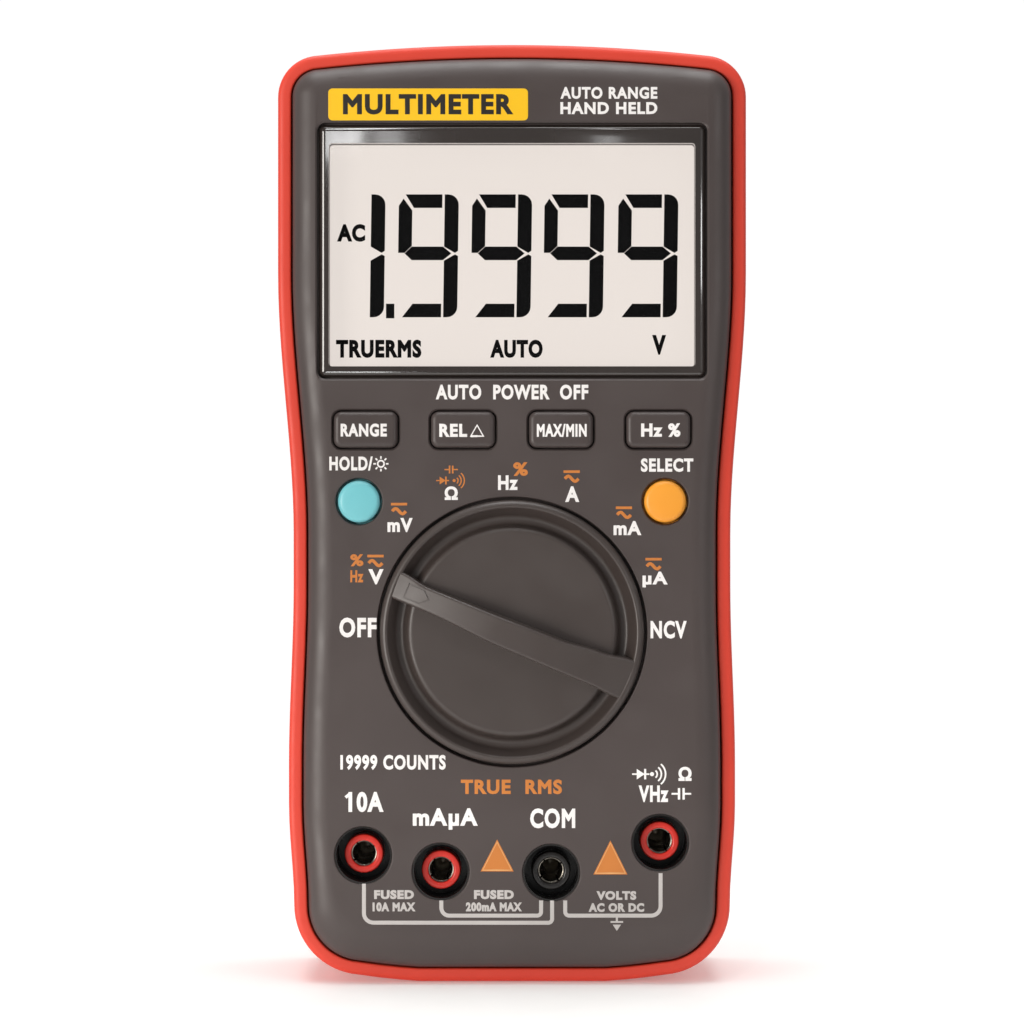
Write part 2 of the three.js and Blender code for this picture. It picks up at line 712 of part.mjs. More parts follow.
function addHousing() {
  const housing = group(multimeter);
  place(housing, "front_case", frontCase(), "caseGrey");
  place(housing, "rear_case", rearCase(), "caseGrey");
  place(housing, "rubber_boot", rubberBoot(), "boot");
  for (const { name, x, z } of SCREWS) {
    const geometry = screw(SCREW_SEAT_Y + 0.1, SCREW_SEAT_Y + 2.5, -9);
    place(housing, `case_screw_${name}`, geometry, "steel", x, 0, z);
  }
}

function addDisplay() {
  const display = group(multimeter);
  const pane = slab(roundedRect(WINDOW), FACE_Y + 0.2, -15.9, { inward: 0.4, depth: 0.4, steps: 1 });
  const glass = { ...LCD_VIEW, width: 73.8, height: 49.4 };
  const guide = { ...LCD_VIEW, width: 73.8, height: 42 };
  place(display, "display_window", pane, "window");
  place(display, "lcd_panel", slab(roundedRect(glass), -13.1, -10.9, { curve: 2 }), "lcd");
  place(display, "lcd_backlight", slab(roundedRect(guide), -10.6, -8.2, { curve: 2 }), "lightGuide");
  place(display, "lcd_holder", lcdHolder(), "greyPlastic");
  for (const [name, side] of [["upper", 1], ["lower", -1]]) {
    const z = LCD_VIEW.z + side * 23.2;
    const strip = block([-33, -10.6, z - 1.2], [33, PCB_FRONT_Y - GAP, z + 1.2]);
    place(display, `zebra_strip_${name}`, strip, "elastomer");
  }
}

function addSelector() {
  const selector = group(multimeter, 0, 0, KNOB_Z);
  selector.rotation.y = -KNOB_ANGLE;
  place(selector, "selector_knob", selectorKnob(), "knobGrey");
  place(selector, "rotor_disc", rotorDisc(), "greyPlastic");
  place(selector, "rotor_contacts", rotorContacts(), "brass");
  for (const [name, side] of [["a", 1], ["b", -1]]) {
    const ball = new THREE.SphereGeometry(1.2, 10, 6);
    const spring = wire(new HelixCurve(3, 0.85, 0.85, 3.3), 0.22, 24);
    spring.rotateY(Math.PI / 2);
    place(selector, `detent_ball_${name}`, solid(ball), "steel", side * 20.6, rotorMiddle(), 0);
    const mesh = place(selector, `detent_spring_${name}`, solid(spring), "steel", side * 15.6, rotorMiddle());
    mesh.rotation.y = side < 0 ? Math.PI : 0;
  }
}

function addButtons() {
  const finishes = { hold: "keyTeal", select: "keyAmber" };
  for (const key of KEYS) {
    const stack = group(multimeter, key.x, 0, key.z);
    place(stack, `${key.name}_button`, buttonCap(key), finishes[key.name] ?? "keyGrey");
    place(stack, `${key.name}_switch`, tactSwitch(), "chip");
  }
}

function addJacks() {
  for (const { name, x, z, red } of JACKS) {
    const stack = group(multimeter, x, 0, z);
    place(stack, `jack_collar_${name}`, jackCollar(), red ? "jackRed" : "jackBlack");
    place(stack, `jack_socket_${name}`, jackSocket(), "nickel");
  }
}

function addFuse(name, { r, length, capLength }, finishName, x, y, z) {
  const clipWidth = capLength - 1;
  const stack = group(multimeter, x, y, z);
  place(stack, `fuse_${name}`, fuse(r, length, capLength), finishName);
  for (const [end, low] of [["lower", 0.5], ["upper", length - capLength + 0.5]]) {
    place(stack, `fuse_clip_${name}_${end}`, solid(fuseClip(r, clipWidth)), "brass", 0, 0, low);
  }
}

function addBoard() {
  const board = group(multimeter);
  place(board, "main_pcb", mainBoard(), "board");
  const back = PCB_BACK_Y + GAP;
  place(board, "measuring_chip", block([-7, back, -7], [7, back + 1.6, 7]), "chip", 24, 0, 112);
  place(board, "buzzer", disc(7.5, back, back + 3.5), "elastomer", -22, 0, 148);
  place(board, "voltage_antenna", block([-16, back, -2], [16, back + 0.6, 2]), "brass", 12, 0, 160);
  place(board, "current_shunt", currentShunt(), "brass", -3, 0, 30);
  const bigFuse = { r: 5.15, length: 38, capLength: 7.5 };
  const smallFuse = { r: 2.6, length: 20, capLength: 5 };
  addFuse("10a", bigFuse, "ceramic", -26, 2.4, 36);
  addFuse("ma", smallFuse, "glass", 26, 0, 40);
}

function addPower() {
  const power = group(multimeter);
  place(power, "battery_left", cell(), "cell", -CELL.x, CELL.y, CELL.z);
  place(power, "battery_right", cell(), "cell", CELL.x, CELL.y, CELL.z);
  place(power, "battery_door", batteryDoor(), "caseGrey");
  const doorScrew = screw(DOOR.back - 0.8, DOOR.back - 0.05 + 1.0, 9.5);
  place(power, "battery_door_screw", doorScrew, "steel", 0, 0, DOOR.screwZ);
}

/** The contacts at both ends of the battery bay. Each plate lies across z. */
function addContacts() {
  const clearance = 0.2;
  const lowZ = BAY.low + clearance;
  const highZ = BAY.high - clearance;
  const bridge = join(springPlate(13, CELL.x), buttonAt(-CELL.x));
  place(multimeter, "battery_bridge", bridge, "nickel", 0, CELL.y, lowZ);
  const spring = place(multimeter, "battery_spring", springPlate(5, 0), "nickel", -CELL.x, CELL.y, highZ);
  spring.rotation.y = Math.PI;
  const button = place(multimeter, "battery_button", buttonPlate(), "nickel", CELL.x, CELL.y, highZ);
  button.rotation.y = Math.PI;
}

function addStand() {
  place(multimeter, "tilt_stand", tiltStand(), "caseGrey");
}

addHousing();
addDisplay();
addSelector();
addButtons();
addJacks();
addBoard();
addPower();
addContacts();
addStand();

export default multimeter;
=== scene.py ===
"""Handheld digital multimeter: detailed mouldings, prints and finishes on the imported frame."""

import logging
import math
from collections.abc import Callable, Iterable, Sequence
from dataclasses import dataclass, field
from enum import Enum

import bmesh
import bpy
from bmesh.types import BMesh, BMVert
from mathutils import Matrix, Vector

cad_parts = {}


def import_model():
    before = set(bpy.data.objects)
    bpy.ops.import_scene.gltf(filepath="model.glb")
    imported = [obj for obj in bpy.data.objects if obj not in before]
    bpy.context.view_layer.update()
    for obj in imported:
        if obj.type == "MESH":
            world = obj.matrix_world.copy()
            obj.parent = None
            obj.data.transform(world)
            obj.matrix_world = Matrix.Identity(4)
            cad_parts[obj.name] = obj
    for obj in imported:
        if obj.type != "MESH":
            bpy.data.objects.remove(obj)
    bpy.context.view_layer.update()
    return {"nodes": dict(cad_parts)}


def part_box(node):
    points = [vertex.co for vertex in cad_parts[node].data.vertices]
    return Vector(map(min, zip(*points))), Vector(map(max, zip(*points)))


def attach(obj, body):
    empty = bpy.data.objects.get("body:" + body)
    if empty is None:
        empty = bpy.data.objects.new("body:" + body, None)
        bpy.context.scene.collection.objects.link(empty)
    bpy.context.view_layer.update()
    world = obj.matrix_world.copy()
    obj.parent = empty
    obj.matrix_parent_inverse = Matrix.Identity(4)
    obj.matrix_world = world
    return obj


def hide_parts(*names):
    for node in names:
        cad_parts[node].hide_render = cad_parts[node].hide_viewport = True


LOG = logging.getLogger("multimeter")

# Shapes are drawn in millimetres on the meter's front: x to the right, y up its length, z towards the user.
PANEL = Matrix.Rotation(math.pi / 2, 4, "X") @ Matrix.Scale(0.001, 4)

# Levels of the front, in millimetres along z.
FACE = 17.5
LCD_GLASS = 13.1
LCD_PRINT = LCD_GLASS + 0.04  # the digits and words lie just in front of the glass
INK = 0.03  # a layer of print
PLAY = 0.3  # the gap between mouldings that meet

# The tilt stand: half its width, and its hinge line's height and distance behind the middle.
STAND_HALF = 31.0
HINGE_HEIGHT = 122.0
HINGE_BEHIND = 20.1


# ---------------------------------------------------------------- materials


def linear(hex_colour: str) -> tuple[float, float, float, float]:
    """Turns an sRGB hex colour into linear red, green, blue and alpha.

    Args:
        hex_colour: The colour as "#rrggbb".

    Returns:
        The linear colour with an alpha of 1.
    """
    channels = [int(hex_colour[i : i + 2], 16) / 255 for i in (1, 3, 5)]
    red, green, blue = (c / 12.92 if c <= 0.04045 else ((c + 0.055) / 1.055) ** 2.4 for c in channels)
    return red, green, blue, 1.0


def add_node(
    tree: bpy.types.NodeTree,
    kind: str,
    settings: dict[str, object] | None = None,
    values: dict[str | int, object] | None = None,
    links: dict[str | int, bpy.types.NodeSocket] | None = None,
) -> bpy.types.Node:
    """Adds a node to a tree with its settings, socket values and incoming links.

    Args:
        tree: The node tree to add to.
        kind: The node's type name.
        settings: Attributes of the node.
        values: Default values of its input sockets.
        links: Sockets of other nodes that feed its input sockets.

    Returns:
        The new node.
    """
    node = tree.nodes.new(kind)
    for name, value in (settings or {}).items():
        setattr(node, name, value)
    for name, value in (values or {}).items():
        node.inputs[name].default_value = value
    for name, source in (links or {}).items():
        tree.links.new(source, node.inputs[name])
    return node


def noise(tree: bpy.types.NodeTree, grain_mm: float, detail: float = 2.0) -> bpy.types.NodeSocket:
    """Adds a noise whose lumps are about grain_mm across.

    Args:
        tree: The node tree to add to.
        grain_mm: The size of a lump in millimetres.
        detail: How many finer layers lie on top.

    Returns:
        The noise value's socket.
    """
    place = add_node(tree, "ShaderNodeTexCoord")
    lumps = add_node(
        tree,
        "ShaderNodeTexNoise",
        values={"Scale": 1000 / grain_mm, "Detail": detail, "Roughness": 0.55},
        links={"Vector": place.outputs["Object"]},
    )
    return lumps.outputs["Fac"]


def spread(
    tree: bpy.types.NodeTree, source: bpy.types.NodeSocket, low: float, high: float
) -> bpy.types.NodeSocket:
    """Maps the middle of a noise to a range of values.

    Args:
        tree: The node tree to add to.
        source: The noise.
        low: The value where the noise is low.
        high: The value where it is high.

    Returns:
        The mapped value's socket.
    """
    mapped = add_node(
        tree,
        "ShaderNodeMapRange",
        values={"From Min": 0.3, "From Max": 0.7, "To Min": low, "To Max": high},
        links={"Value": source},
    )
    return mapped.outputs["Result"]


def shade(
    tree: bpy.types.NodeTree, factor: bpy.types.NodeSocket, first: str, second: str
) -> bpy.types.NodeSocket:
    """Blends two hex colours by a factor.

    Args:
        tree: The node tree to add to.
        factor: 0 gives the first colour, 1 the second.
        first: The first colour.
        second: The second colour.

    Returns:
        The blended colour's socket.
    """
    blend = add_node(
        tree,
        "ShaderNodeMix",
        {"data_type": "RGBA"},
        {6: linear(first), 7: linear(second)},
        {0: factor},
    )
    return blend.outputs[2]


def relief(
    tree: bpy.types.NodeTree, height: bpy.types.NodeSocket, depth_mm: float
) -> bpy.types.NodeSocket:
    """Adds a bump of a real depth.

    Args:
        tree: The node tree to add to.
        height: The height field, from 0 to 1.
        depth_mm: How deep it is in millimetres.

    Returns:
        The bent normal's socket.
    """
    bump = add_node(
        tree,
        "ShaderNodeBump",
        values={"Strength": 1.0, "Distance": depth_mm / 1000},
        links={"Height": height},
    )
    return bump.outputs["Normal"]


@dataclass(frozen=True)
class Finish:
    """A material and the way its surface was made.

    The base class is a plastic moulding: its colour drifts a little over the part, its texture was
    etched into the mould, and handling polishes it unevenly.
    """

    name: str
    colour: str
    drift: str  # the colour it drifts to
    roughness: float
    polish: float = 0.06  # how far the roughness wanders either way
    grain_mm: float = 0.45
    grain_depth_mm: float = 0.012
    drift_mm: float = 26.0
    metallic: float = 0.0
    ior: float = 1.5
    coat: float = 0.0
    # emission: the floor's even brightness, and painted light on the liquid crystal panel
    glow: float = 0.0

    def shader_values(self) -> dict[str, object]:
        """Constant values for the shader's own sockets."""
        values: dict[str, object] = {"Metallic": self.metallic}
        if self.metallic < 0.5:
            values["IOR"] = self.ior
        if self.coat:
            values |= {"Coat Weight": self.coat, "Coat Roughness": 0.04}
        if self.glow:
            values |= {"Emission Color": linear(self.colour), "Emission Strength": self.glow}
        return values

    def colour_socket(self, tree: bpy.types.NodeTree) -> bpy.types.NodeSocket:
        """The base colour over the surface."""
        return shade(tree, spread(tree, noise(tree, self.drift_mm), 0, 1), self.colour, self.drift)

    def roughness_socket(self, tree: bpy.types.NodeTree) -> bpy.types.NodeSocket:
        """The roughness over the surface."""
        low = max(0.02, self.roughness - self.polish)
        return spread(tree, noise(tree, 7.0), low, self.roughness + self.polish)

    def height_socket(self, tree: bpy.types.NodeTree) -> bpy.types.NodeSocket:
        """The height of the surface texture."""
        return noise(tree, self.grain_mm, 1.0)

    def make(self) -> bpy.types.Material:
        """Builds the material once and gives it back after that."""
        known = bpy.data.materials.get(self.name)
        if known:
            return known
        material = bpy.data.materials.new(self.name)
        material.use_nodes = True
        tree = material.node_tree
        tree.nodes.clear()
        shader = add_node(
            tree,
            "ShaderNodeBsdfPrincipled",
            values=self.shader_values(),
            links={
                "Base Color": self.colour_socket(tree),
                "Roughness": self.roughness_socket(tree),
                "Normal": relief(tree, self.height_socket(tree), self.grain_depth_mm),
            },
        )
        add_node(tree, "ShaderNodeOutputMaterial", links={"Surface": shader.outputs["BSDF"]})
        return material


@dataclass(frozen=True)
class ClearPane(Finish):
    """Cast acrylic: clear and polished, with faint wiping marks in its gloss."""

    cover: float = 0.04  # the share of light that the pane stops

    def shader_values(self) -> dict[str, object]:
        """The plastic's values with most of the light let through."""
        return super().shader_values() | {"Alpha": self.cover}


@dataclass(frozen=True)
class TurnedMetal(Finish):
    """Metal turned on a lathe or drawn to wire, then plated: fine rings run round the part."""

    ring_mm: float = 0.3

    def height_socket(self, tree: bpy.types.NodeTree) -> bpy.types.NodeSocket:
        """Rings across the length of the meter's depth."""
        place = add_node(tree, "ShaderNodeTexCoord")
        rings = add_node(
            tree,
            "ShaderNodeTexWave",
            {"bands_direction": "Y"},
            {"Scale": 1000 / self.ring_mm / 20, "Distortion": 1.5, "Detail": 2.0},
            {"Vector": place.outputs["Object"]},
        )
        return rings.outputs["Fac"]


@dataclass(frozen=True)
class SolderMask(Finish):
    """Glass-fibre board under green mask: copper tracks stand up under it in a square pattern."""

    track_mm: float = 1.9

    def tracks(self, tree: bpy.types.NodeTree) -> bpy.types.NodeSocket:
        """A block pattern of tracks: 1 on copper, 0 between."""
        place = add_node(tree, "ShaderNodeTexCoord")
        blocks = add_node(
            tree,
            "ShaderNodeTexVoronoi",
            {"distance": "CHEBYCHEV", "feature": "DISTANCE_TO_EDGE"},
            {"Scale": 1000 / self.track_mm / 2},
            {"Vector": place.outputs["Object"]},
        )
        line = add_node(
            tree,
            "ShaderNodeMapRange",
            values={"From Min": 0.06, "From Max": 0.1},
            links={"Value": blocks.outputs["Distance"]},
        )
        return line.outputs["Result"]

    def colour_socket(self, tree: bpy.types.NodeTree) -> bpy.types.NodeSocket:
        """Lighter green where copper lies under the mask."""
        return shade(tree, self.tracks(tree), self.colour, self.drift)

    def height_socket(self, tree: bpy.types.NodeTree) -> bpy.types.NodeSocket:
        """The tracks stand up under the mask."""
        return self.tracks(tree)


@dataclass(frozen=True)
class BandedJacket(Finish):
    """Printed shrink film on a steel cell: a bright band of the second colour at the upper end."""

    band_from: float = 0.0805  # metres along the length of the meter

    def colour_socket(self, tree: bpy.types.NodeTree) -> bpy.types.NodeSocket:
        """The jacket's colour below the band and the band's colour above."""
        place = add_node(tree, "ShaderNodeTexCoord")
        axes = add_node(tree, "ShaderNodeSeparateXYZ", links={"Vector": place.outputs["Object"]})
        above = add_node(
            tree,
            "ShaderNodeMath",
            {"operation": "GREATER_THAN"},
            {1: self.band_from},
            {0: axes.outputs["Z"]},
        )
        return shade(tree, above.outputs["Value"], self.colour, self.drift)


def ink(name: str, colour: str, drift: str, roughness: float = 0.55) -> Finish:
    """A pad-printed ink: flat, with the fine tooth of a thin dried layer."""
    return Finish(name, colour, drift, roughness, grain_mm=0.5, grain_depth_mm=0.004)


class Finishes:
    """The finishes of the meter, by what they are made of."""

    # ABS moulded in an eroded steel tool: a fine even matt, warm dark grey with soft highlights.
    case = Finish("abs_eroded_grey", "#483f3d", "#443b39", 0.46, grain_mm=0.5, grain_depth_mm=0.009)
    # The same ABS from a finer tool: the knob is a shade darker and smoother.
    knob = Finish("abs_satin_grey", "#443c39", "#403835", 0.40, grain_mm=0.4, grain_depth_mm=0.005)
    key_grey = Finish("abs_satin_key_grey", "#453c3a", "#413836", 0.42, grain_mm=0.4, grain_depth_mm=0.005)
    # Keys moulded through in colour, with the slight sheen of a polished tool.
    key_teal = Finish("abs_satin_teal", "#76c3ca", "#6fbdc5", 0.38, grain_mm=0.6, grain_depth_mm=0.004)
    key_amber = Finish("abs_satin_amber", "#f1a032", "#ee9a2c", 0.38, grain_mm=0.6, grain_depth_mm=0.004)
    # Thermoplastic rubber over the case: saturated, matt, with a soft broad sheen.
    boot = Finish("tpe_moulded_red", "#e0402b", "#d83c28", 0.5, grain_mm=0.6, grain_depth_mm=0.012)
    # The mask printed behind the acrylic: near black under a hard gloss.
    mask = Finish(
        "acrylic_brown_mask", "#342d2a", "#2e2825", 0.08, 0.03, 9.0, 0.008, coat=0.8, ior=1.49
    )
    pane = ClearPane("acrylic_clear", "#1a1a1a", "#202020", 0.05, 0.02, 12.0, 0.004, ior=1.49)
    # Twisted-nematic glass over its diffuser: warm pale grey, dead even, slightly satin. The even pale grey
    # is painted light: a dark base under a strong glow, which washes out the shade that the window's recess
    # casts on the panel.
    crystal = Finish(
        "lcd_grey_painted_glow", "#5f5b58", "#5d5956", 0.5, 0.04, 3.0, 0.002, ior=1.3, glow=6.9
    )
    segments = Finish("lcd_dark_segment", "#050506", "#080809", 0.6, 0.04, 3.0, 0.002, ior=1.15)
    # Pad-printed two-part inks: flat, and duller than the moulding under them.
    ink_white = ink("ink_white", "#f4f1ef", "#e6e2e0")
    ink_grey = ink("ink_silver_grey", "#c4bfbc", "#b7b2af", 0.5)
    ink_orange = ink("ink_orange", "#cc7c33", "#c07230")
    ink_pale_orange = ink("ink_pale_orange", "#dfa468", "#d39a60")
    ink_black = ink("ink_black", "#17130f", "#1c1712", 0.5)
    label = Finish("vinyl_label_yellow", "#fbc81f", "#f6c119", 0.34, grain_mm=1.2, grain_depth_mm=0.006)
    # Gloss ABS of the jack collars.
    jack_red = Finish("abs_gloss_red", "#e2362c", "#d83027", 0.26, grain_mm=1.6, grain_depth_mm=0.004)
    jack_black = Finish("abs_gloss_black", "#1e1b1a", "#191716", 0.26, grain_mm=1.6, grain_depth_mm=0.004)
    nickel = TurnedMetal("brass_nickel_plated", "#8d887f", "#807a70", 0.26, metallic=1.0)
    steel = TurnedMetal("steel_zinc_plated", "#aeb0b4", "#9a9da3", 0.34, metallic=1.0)
    brass = Finish("brass_stamped", "#d2a850", "#b98d3c", 0.3, 0.08, 1.2, 0.01, 8.0, 1.0)
    board = SolderMask("fibreglass_solder_mask", "#17502f", "#1f6a3e", 0.32, grain_depth_mm=0.04)
    grey_plastic = Finish("nylon_moulded_grey", "#8f8a86", "#87827e", 0.5)
    guide = Finish("acrylic_light_guide", "#eef2ee", "#e6ece8", 0.3, grain_mm=0.8)
    elastomer = Finish("silicone_strip", "#35312f", "#2d2a28", 0.75, grain_mm=0.5)
    epoxy = Finish("epoxy_black", "#1c1b1b", "#222020", 0.5, grain_mm=0.3)
    ceramic = Finish("ceramic_white", "#e8e2d4", "#ded7c8", 0.4, grain_mm=0.7)
    fuse_glass = Finish("glass_tube", "#dfe8e6", "#d3dedb", 0.08, 0.03, 4.0, 0.004, ior=1.52)
    jacket = BandedJacket("film_jacket_black", "#1f2025", "#c98f3a", 0.3, grain_mm=1.5)


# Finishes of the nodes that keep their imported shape, by the record's slot.
KEPT_FINISHES = {
    "screw_steel": Finishes.steel,
    "inner_plastic": Finishes.grey_plastic,
    "light_guide": Finishes.guide,
    "elastomer": Finishes.elastomer,
    "contact_brass": Finishes.brass,
    "switch_black": Finishes.epoxy,
    "chip_black": Finishes.epoxy,
    "socket_nickel": Finishes.nickel,
    "board_green": Finishes.board,
    "fuse_ceramic": Finishes.ceramic,
    "fuse_glass": Finishes.fuse_glass,
    "cell_jacket": Finishes.jacket,
    # the liquid crystal panel: a dark grey base under a painted glow that hides the recess's shade
    "lcd_glass": Finishes.crystal,
}


# ---------------------------------------------------------------- shaping


class Join(Enum):
    """How two closed forms are put together."""

    ADD = "UNION"
    CUT = "DIFFERENCE"


@dataclass(frozen=True)
class Rect:
    """A rounded rectangle on the front, in millimetres."""

    x: float
    y: float
    width: float
    height: float
    corner: float = 0.0

    def grown(self, by: float) -> "Rect":
        """The same rectangle, larger by the same distance on every side."""
        corner = max(0.0, self.corner + by) if self.corner else 0.0
        return Rect(self.x, self.y, self.width + 2 * by, self.height + 2 * by, corner)


# The display's window, and the part of the liquid crystal panel that shows through it.
WINDOW = Rect(0.05, 140.05, 73.9, 48.3, 1.3)
LCD_VIEW = Rect(0, 139.3, 69.9, 42.6, 0.6)


def rect_between(left: float, right: float, bottom: float, top: float, corner: float = 0.0) -> Rect:
    """A rectangle from its four sides."""
    return Rect((left + right) / 2, (bottom + top) / 2, right - left, top - bottom, corner)


def node_span(node: str) -> tuple[Vector, Vector]:
    """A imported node's lowest and highest corners on the front, in millimetres."""
    low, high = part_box(node)
    return Vector((low.x, low.z, -high.y)) * 1000, Vector((high.x, high.z, -low.y)) * 1000


def node_centre(node: str) -> tuple[float, float]:
    """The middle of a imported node, seen from the front, in millimetres."""
    low, high = node_span(node)
    return (low.x + high.x) / 2, (low.y + high.y) / 2


def close_and_face_out(form: BMesh) -> BMesh:
    """Merges doubled vertices, fills open ends and turns every face outwards."""
    bmesh.ops.remove_doubles(form, verts=form.verts, dist=1e-4)
    open_edges = [e for e in form.edges if len(e.link_faces) < 2]
    if open_edges:
        bmesh.ops.holes_fill(form, edges=open_edges, sides=0)
    bmesh.ops.recalc_face_normals(form, faces=form.faces)
    return form


def prism(outline: Sequence[tuple[float, float]], low: float, high: float) -> BMesh:
    """A straight-sided form over a flat outline.

    Args:
        outline: The outline's corners, in order.
        low: The level of its back.
        high: The level of its front.

    Returns:
        The closed form.
    """
    form = bmesh.new()
    corners = [form.verts.new((x, y, low)) for x, y in outline]
    base = bmesh.ops.contextual_create(form, geom=corners)["faces"]
    grown = bmesh.ops.extrude_face_region(form, geom=base)["geom"]
    raised = [v for v in grown if isinstance(v, BMVert)]
    bmesh.ops.translate(form, verts=raised, vec=(0, 0, high - low))
    return close_and_face_out(form)


def plate(rect: Rect, low: float, high: float, edge: float = 0.0, steps: int = 3) -> BMesh:
    """A flat plate with rounded corners and, if asked, a rounded front edge.

    Args:
        rect: Its outline.
        low: The level of its back.
        high: The level of its front.
        edge: The radius of the front edge. A negative one flares outwards past the level of high.
        steps: Facets round each corner and edge.

    Returns:
        The closed form.
    """
    form = bmesh.new()
    bmesh.ops.create_grid(form, x_segments=1, y_segments=1, size=0.5)
    bmesh.ops.scale(form, vec=(rect.width, rect.height, 1), verts=form.verts)
    if rect.corner:
        bmesh.ops.bevel(
            form,
            geom=form.verts[:],
            offset=rect.corner,
            segments=max(steps, 5),
            profile=0.5,
            affect="VERTICES",
            material=-1,
        )
    bmesh.ops.translate(form, verts=form.verts, vec=(rect.x, rect.y, low))
    top = extrude_up(form, form.faces[:], high - low)
    if edge < 0:
        lip = extrude_up(form, top, -edge)
        bmesh.ops.delete(form, geom=top, context="FACES_ONLY")
        wide = Vector(((rect.width - 2 * edge) / rect.width, (rect.height - 2 * edge) / rect.height, 1))
        centre = Matrix.Translation((-rect.x, -rect.y, 0))
        bmesh.ops.scale(form, vec=wide, space=centre, verts=[v for f in lip for v in f.verts])
    close_and_face_out(form)
    if edge > 0:
        rim = [e for e in form.edges if all(abs(v.co.z - high) < 1e-5 for v in e.verts)]
        bmesh.ops.bevel(
            form, geom=rim, offset=edge, segments=steps, profile=0.5, affect="EDGES", material=-1
        )
    return form


def extrude_up(form: BMesh, faces: Sequence[bmesh.types.BMFace], by: float) -> list[bmesh.types.BMFace]:
    """Extrudes faces towards the user.

    Args:
        form: The form they are on.
        faces: The faces to extrude.
        by: The distance.

    Returns:
        The faces at the new end.
    """
    grown = bmesh.ops.extrude_face_region(form, geom=list(faces))["geom"]
    raised = [g for g in grown if isinstance(g, BMVert)]
    bmesh.ops.translate(form, verts=raised, vec=(0, 0, by))
    return [g for g in grown if isinstance(g, bmesh.types.BMFace)]


def softened(
    profile: Sequence[tuple[float, ...]], radius: float = 0.0, steps: int = 4
) -> list[tuple[float, float]]:
    """Rounds the inner corners of an open profile.

    Args:
        profile: Points of (across, along), each with an own radius as a third value if it has one.
        radius: The radius of every corner without an own one.
        steps: Facets round each corner.

    Returns:
        The points of the rounded profile.
    """
    points = [(Vector(p[:2]), p[2] if len(p) > 2 else radius) for p in profile]
    made = [points[0][0]]
    for (before, _), (corner, wanted), (after, _) in zip(points, points[1:], points[2:]):
        back, ahead = before - corner, after - corner
        reach = min(wanted, back.length * 0.49, ahead.length * 0.49)
        if reach < 1e-3:
            made.append(corner)
            continue
        first, last = corner + back.normalized() * reach, corner + ahead.normalized() * reach
        for step in range(steps + 1):
            t = step / steps
            made.append(first * (1 - t) ** 2 + corner * (2 * t * (1 - t)) + last * t**2)
    made.append(points[-1][0])
    return [(p.x, p.y) for p in made]


def lathe(
    profile: Sequence[tuple[float, float]], centre: tuple[float, float] = (0, 0), steps: int = 48
) -> BMesh:
    """Turns a profile of (radius, level) about an axis that points at the user.

    Args:
        profile: The profile, from the axis or from an inner wall round to it again.
        centre: Where the axis is on the front.
        steps: Facets round the piece.

    Returns:
        The closed form.
    """
    form = bmesh.new()
    ring = [form.verts.new((r, 0, level)) for r, level in profile]
    edges = [form.edges.new(pair) for pair in zip(ring, ring[1:])]
    if profile[0][0] > 1e-6:
        edges.append(form.edges.new((ring[-1], ring[0])))
    bmesh.ops.spin(
        form,
        geom=ring + edges,
        cent=(0, 0, 0),
        axis=(0, 0, 1),
        angle=2 * math.pi,
        steps=steps,
        use_merge=True,
    )
    bmesh.ops.translate(form, verts=form.verts, vec=(*centre, 0))
    return close_and_face_out(form)


def bar(radius: float, low: float, high: float, centre: tuple[float, float], steps: int = 48) -> BMesh:
    """A round bar that points at the user."""
    return lathe([(0, low), (radius, low), (radius, high), (0, high)], centre, steps)


def loft(rings: Sequence[Sequence[Vector]], endless: bool = False) -> BMesh:
    """Draws a skin through rings of equally many points.

    Args:
        rings: The rings, in order.
        endless: Joins the last ring to the first. Otherwise the two ends are closed.

    Returns:
        The closed form.
    """
    form = bmesh.new()
    circle = bmesh.ops.create_circle(form, segments=len(rings[0]), radius=1.0)["verts"]
    for vertex, point in zip(circle, rings[0]):
        vertex.co = point
    first = list({e for v in circle for e in v.link_edges})
    loop, edges = list(circle), first
    for ring in rings[1:]:
        made = set(bmesh.ops.extrude_edge_only(form, edges=edges)["geom"])
        loop = [next(e.other_vert(v) for e in v.link_edges if e.other_vert(v) in made) for v in loop]
        for vertex, point in zip(loop, ring):
            vertex.co = point
        edges = [g for g in made if isinstance(g, bmesh.types.BMEdge)]
        edges = [e for e in edges if len(e.link_faces) == 1]
    if endless:
        bmesh.ops.bridge_loops(form, edges=first + edges)
    return close_and_face_out(form)


def spare(form: BMesh, name: str) -> bpy.types.Object:
    """A short-lived object that holds a form while a modifier works on it."""
    mesh = bpy.data.meshes.new(name)
    form.to_mesh(mesh)
    form.free()
    holder = bpy.data.objects.new(name, mesh)
    bpy.context.scene.collection.objects.link(holder)
    return holder


def evaluated(holder: bpy.types.Object) -> BMesh:
    """An object as a form, with its modifiers applied."""
    result = holder.evaluated_get(bpy.context.evaluated_depsgraph_get())
    form = bmesh.new()
    form.from_mesh(result.to_mesh())
    result.to_mesh_clear()
    return form


def discard(*holders: bpy.types.Object) -> None:
    """Removes short-lived objects and their data."""
    for holder in holders:
        data = holder.data
        bpy.data.objects.remove(holder)
        if isinstance(data, bpy.types.Mesh):
            bpy.data.meshes.remove(data)
        else:
            bpy.data.curves.remove(data)


def put_together(body: BMesh, tools: Iterable[BMesh], how: Join) -> BMesh:
    """Adds closed forms to a body, or cuts them out of it. The tools stay clear of each other.

    Args:
        body: The form to work on. It is used up.
        tools: The forms to add or cut. They are used up.
        how: Whether they are added or cut.

    Returns:
        The new form.
    """
    host, tool = spare(body, "body"), spare(gather(tools), "tool")
    modifier = host.modifiers.new("work", "BOOLEAN")
    modifier.operation = how.value
    modifier.object = tool
    modifier.solver = "MANIFOLD"
    result = evaluated(host)
    if not result.faces:
        result.free()
        modifier.solver = "EXACT"
        result = evaluated(host)
    discard(host, tool)
    return result


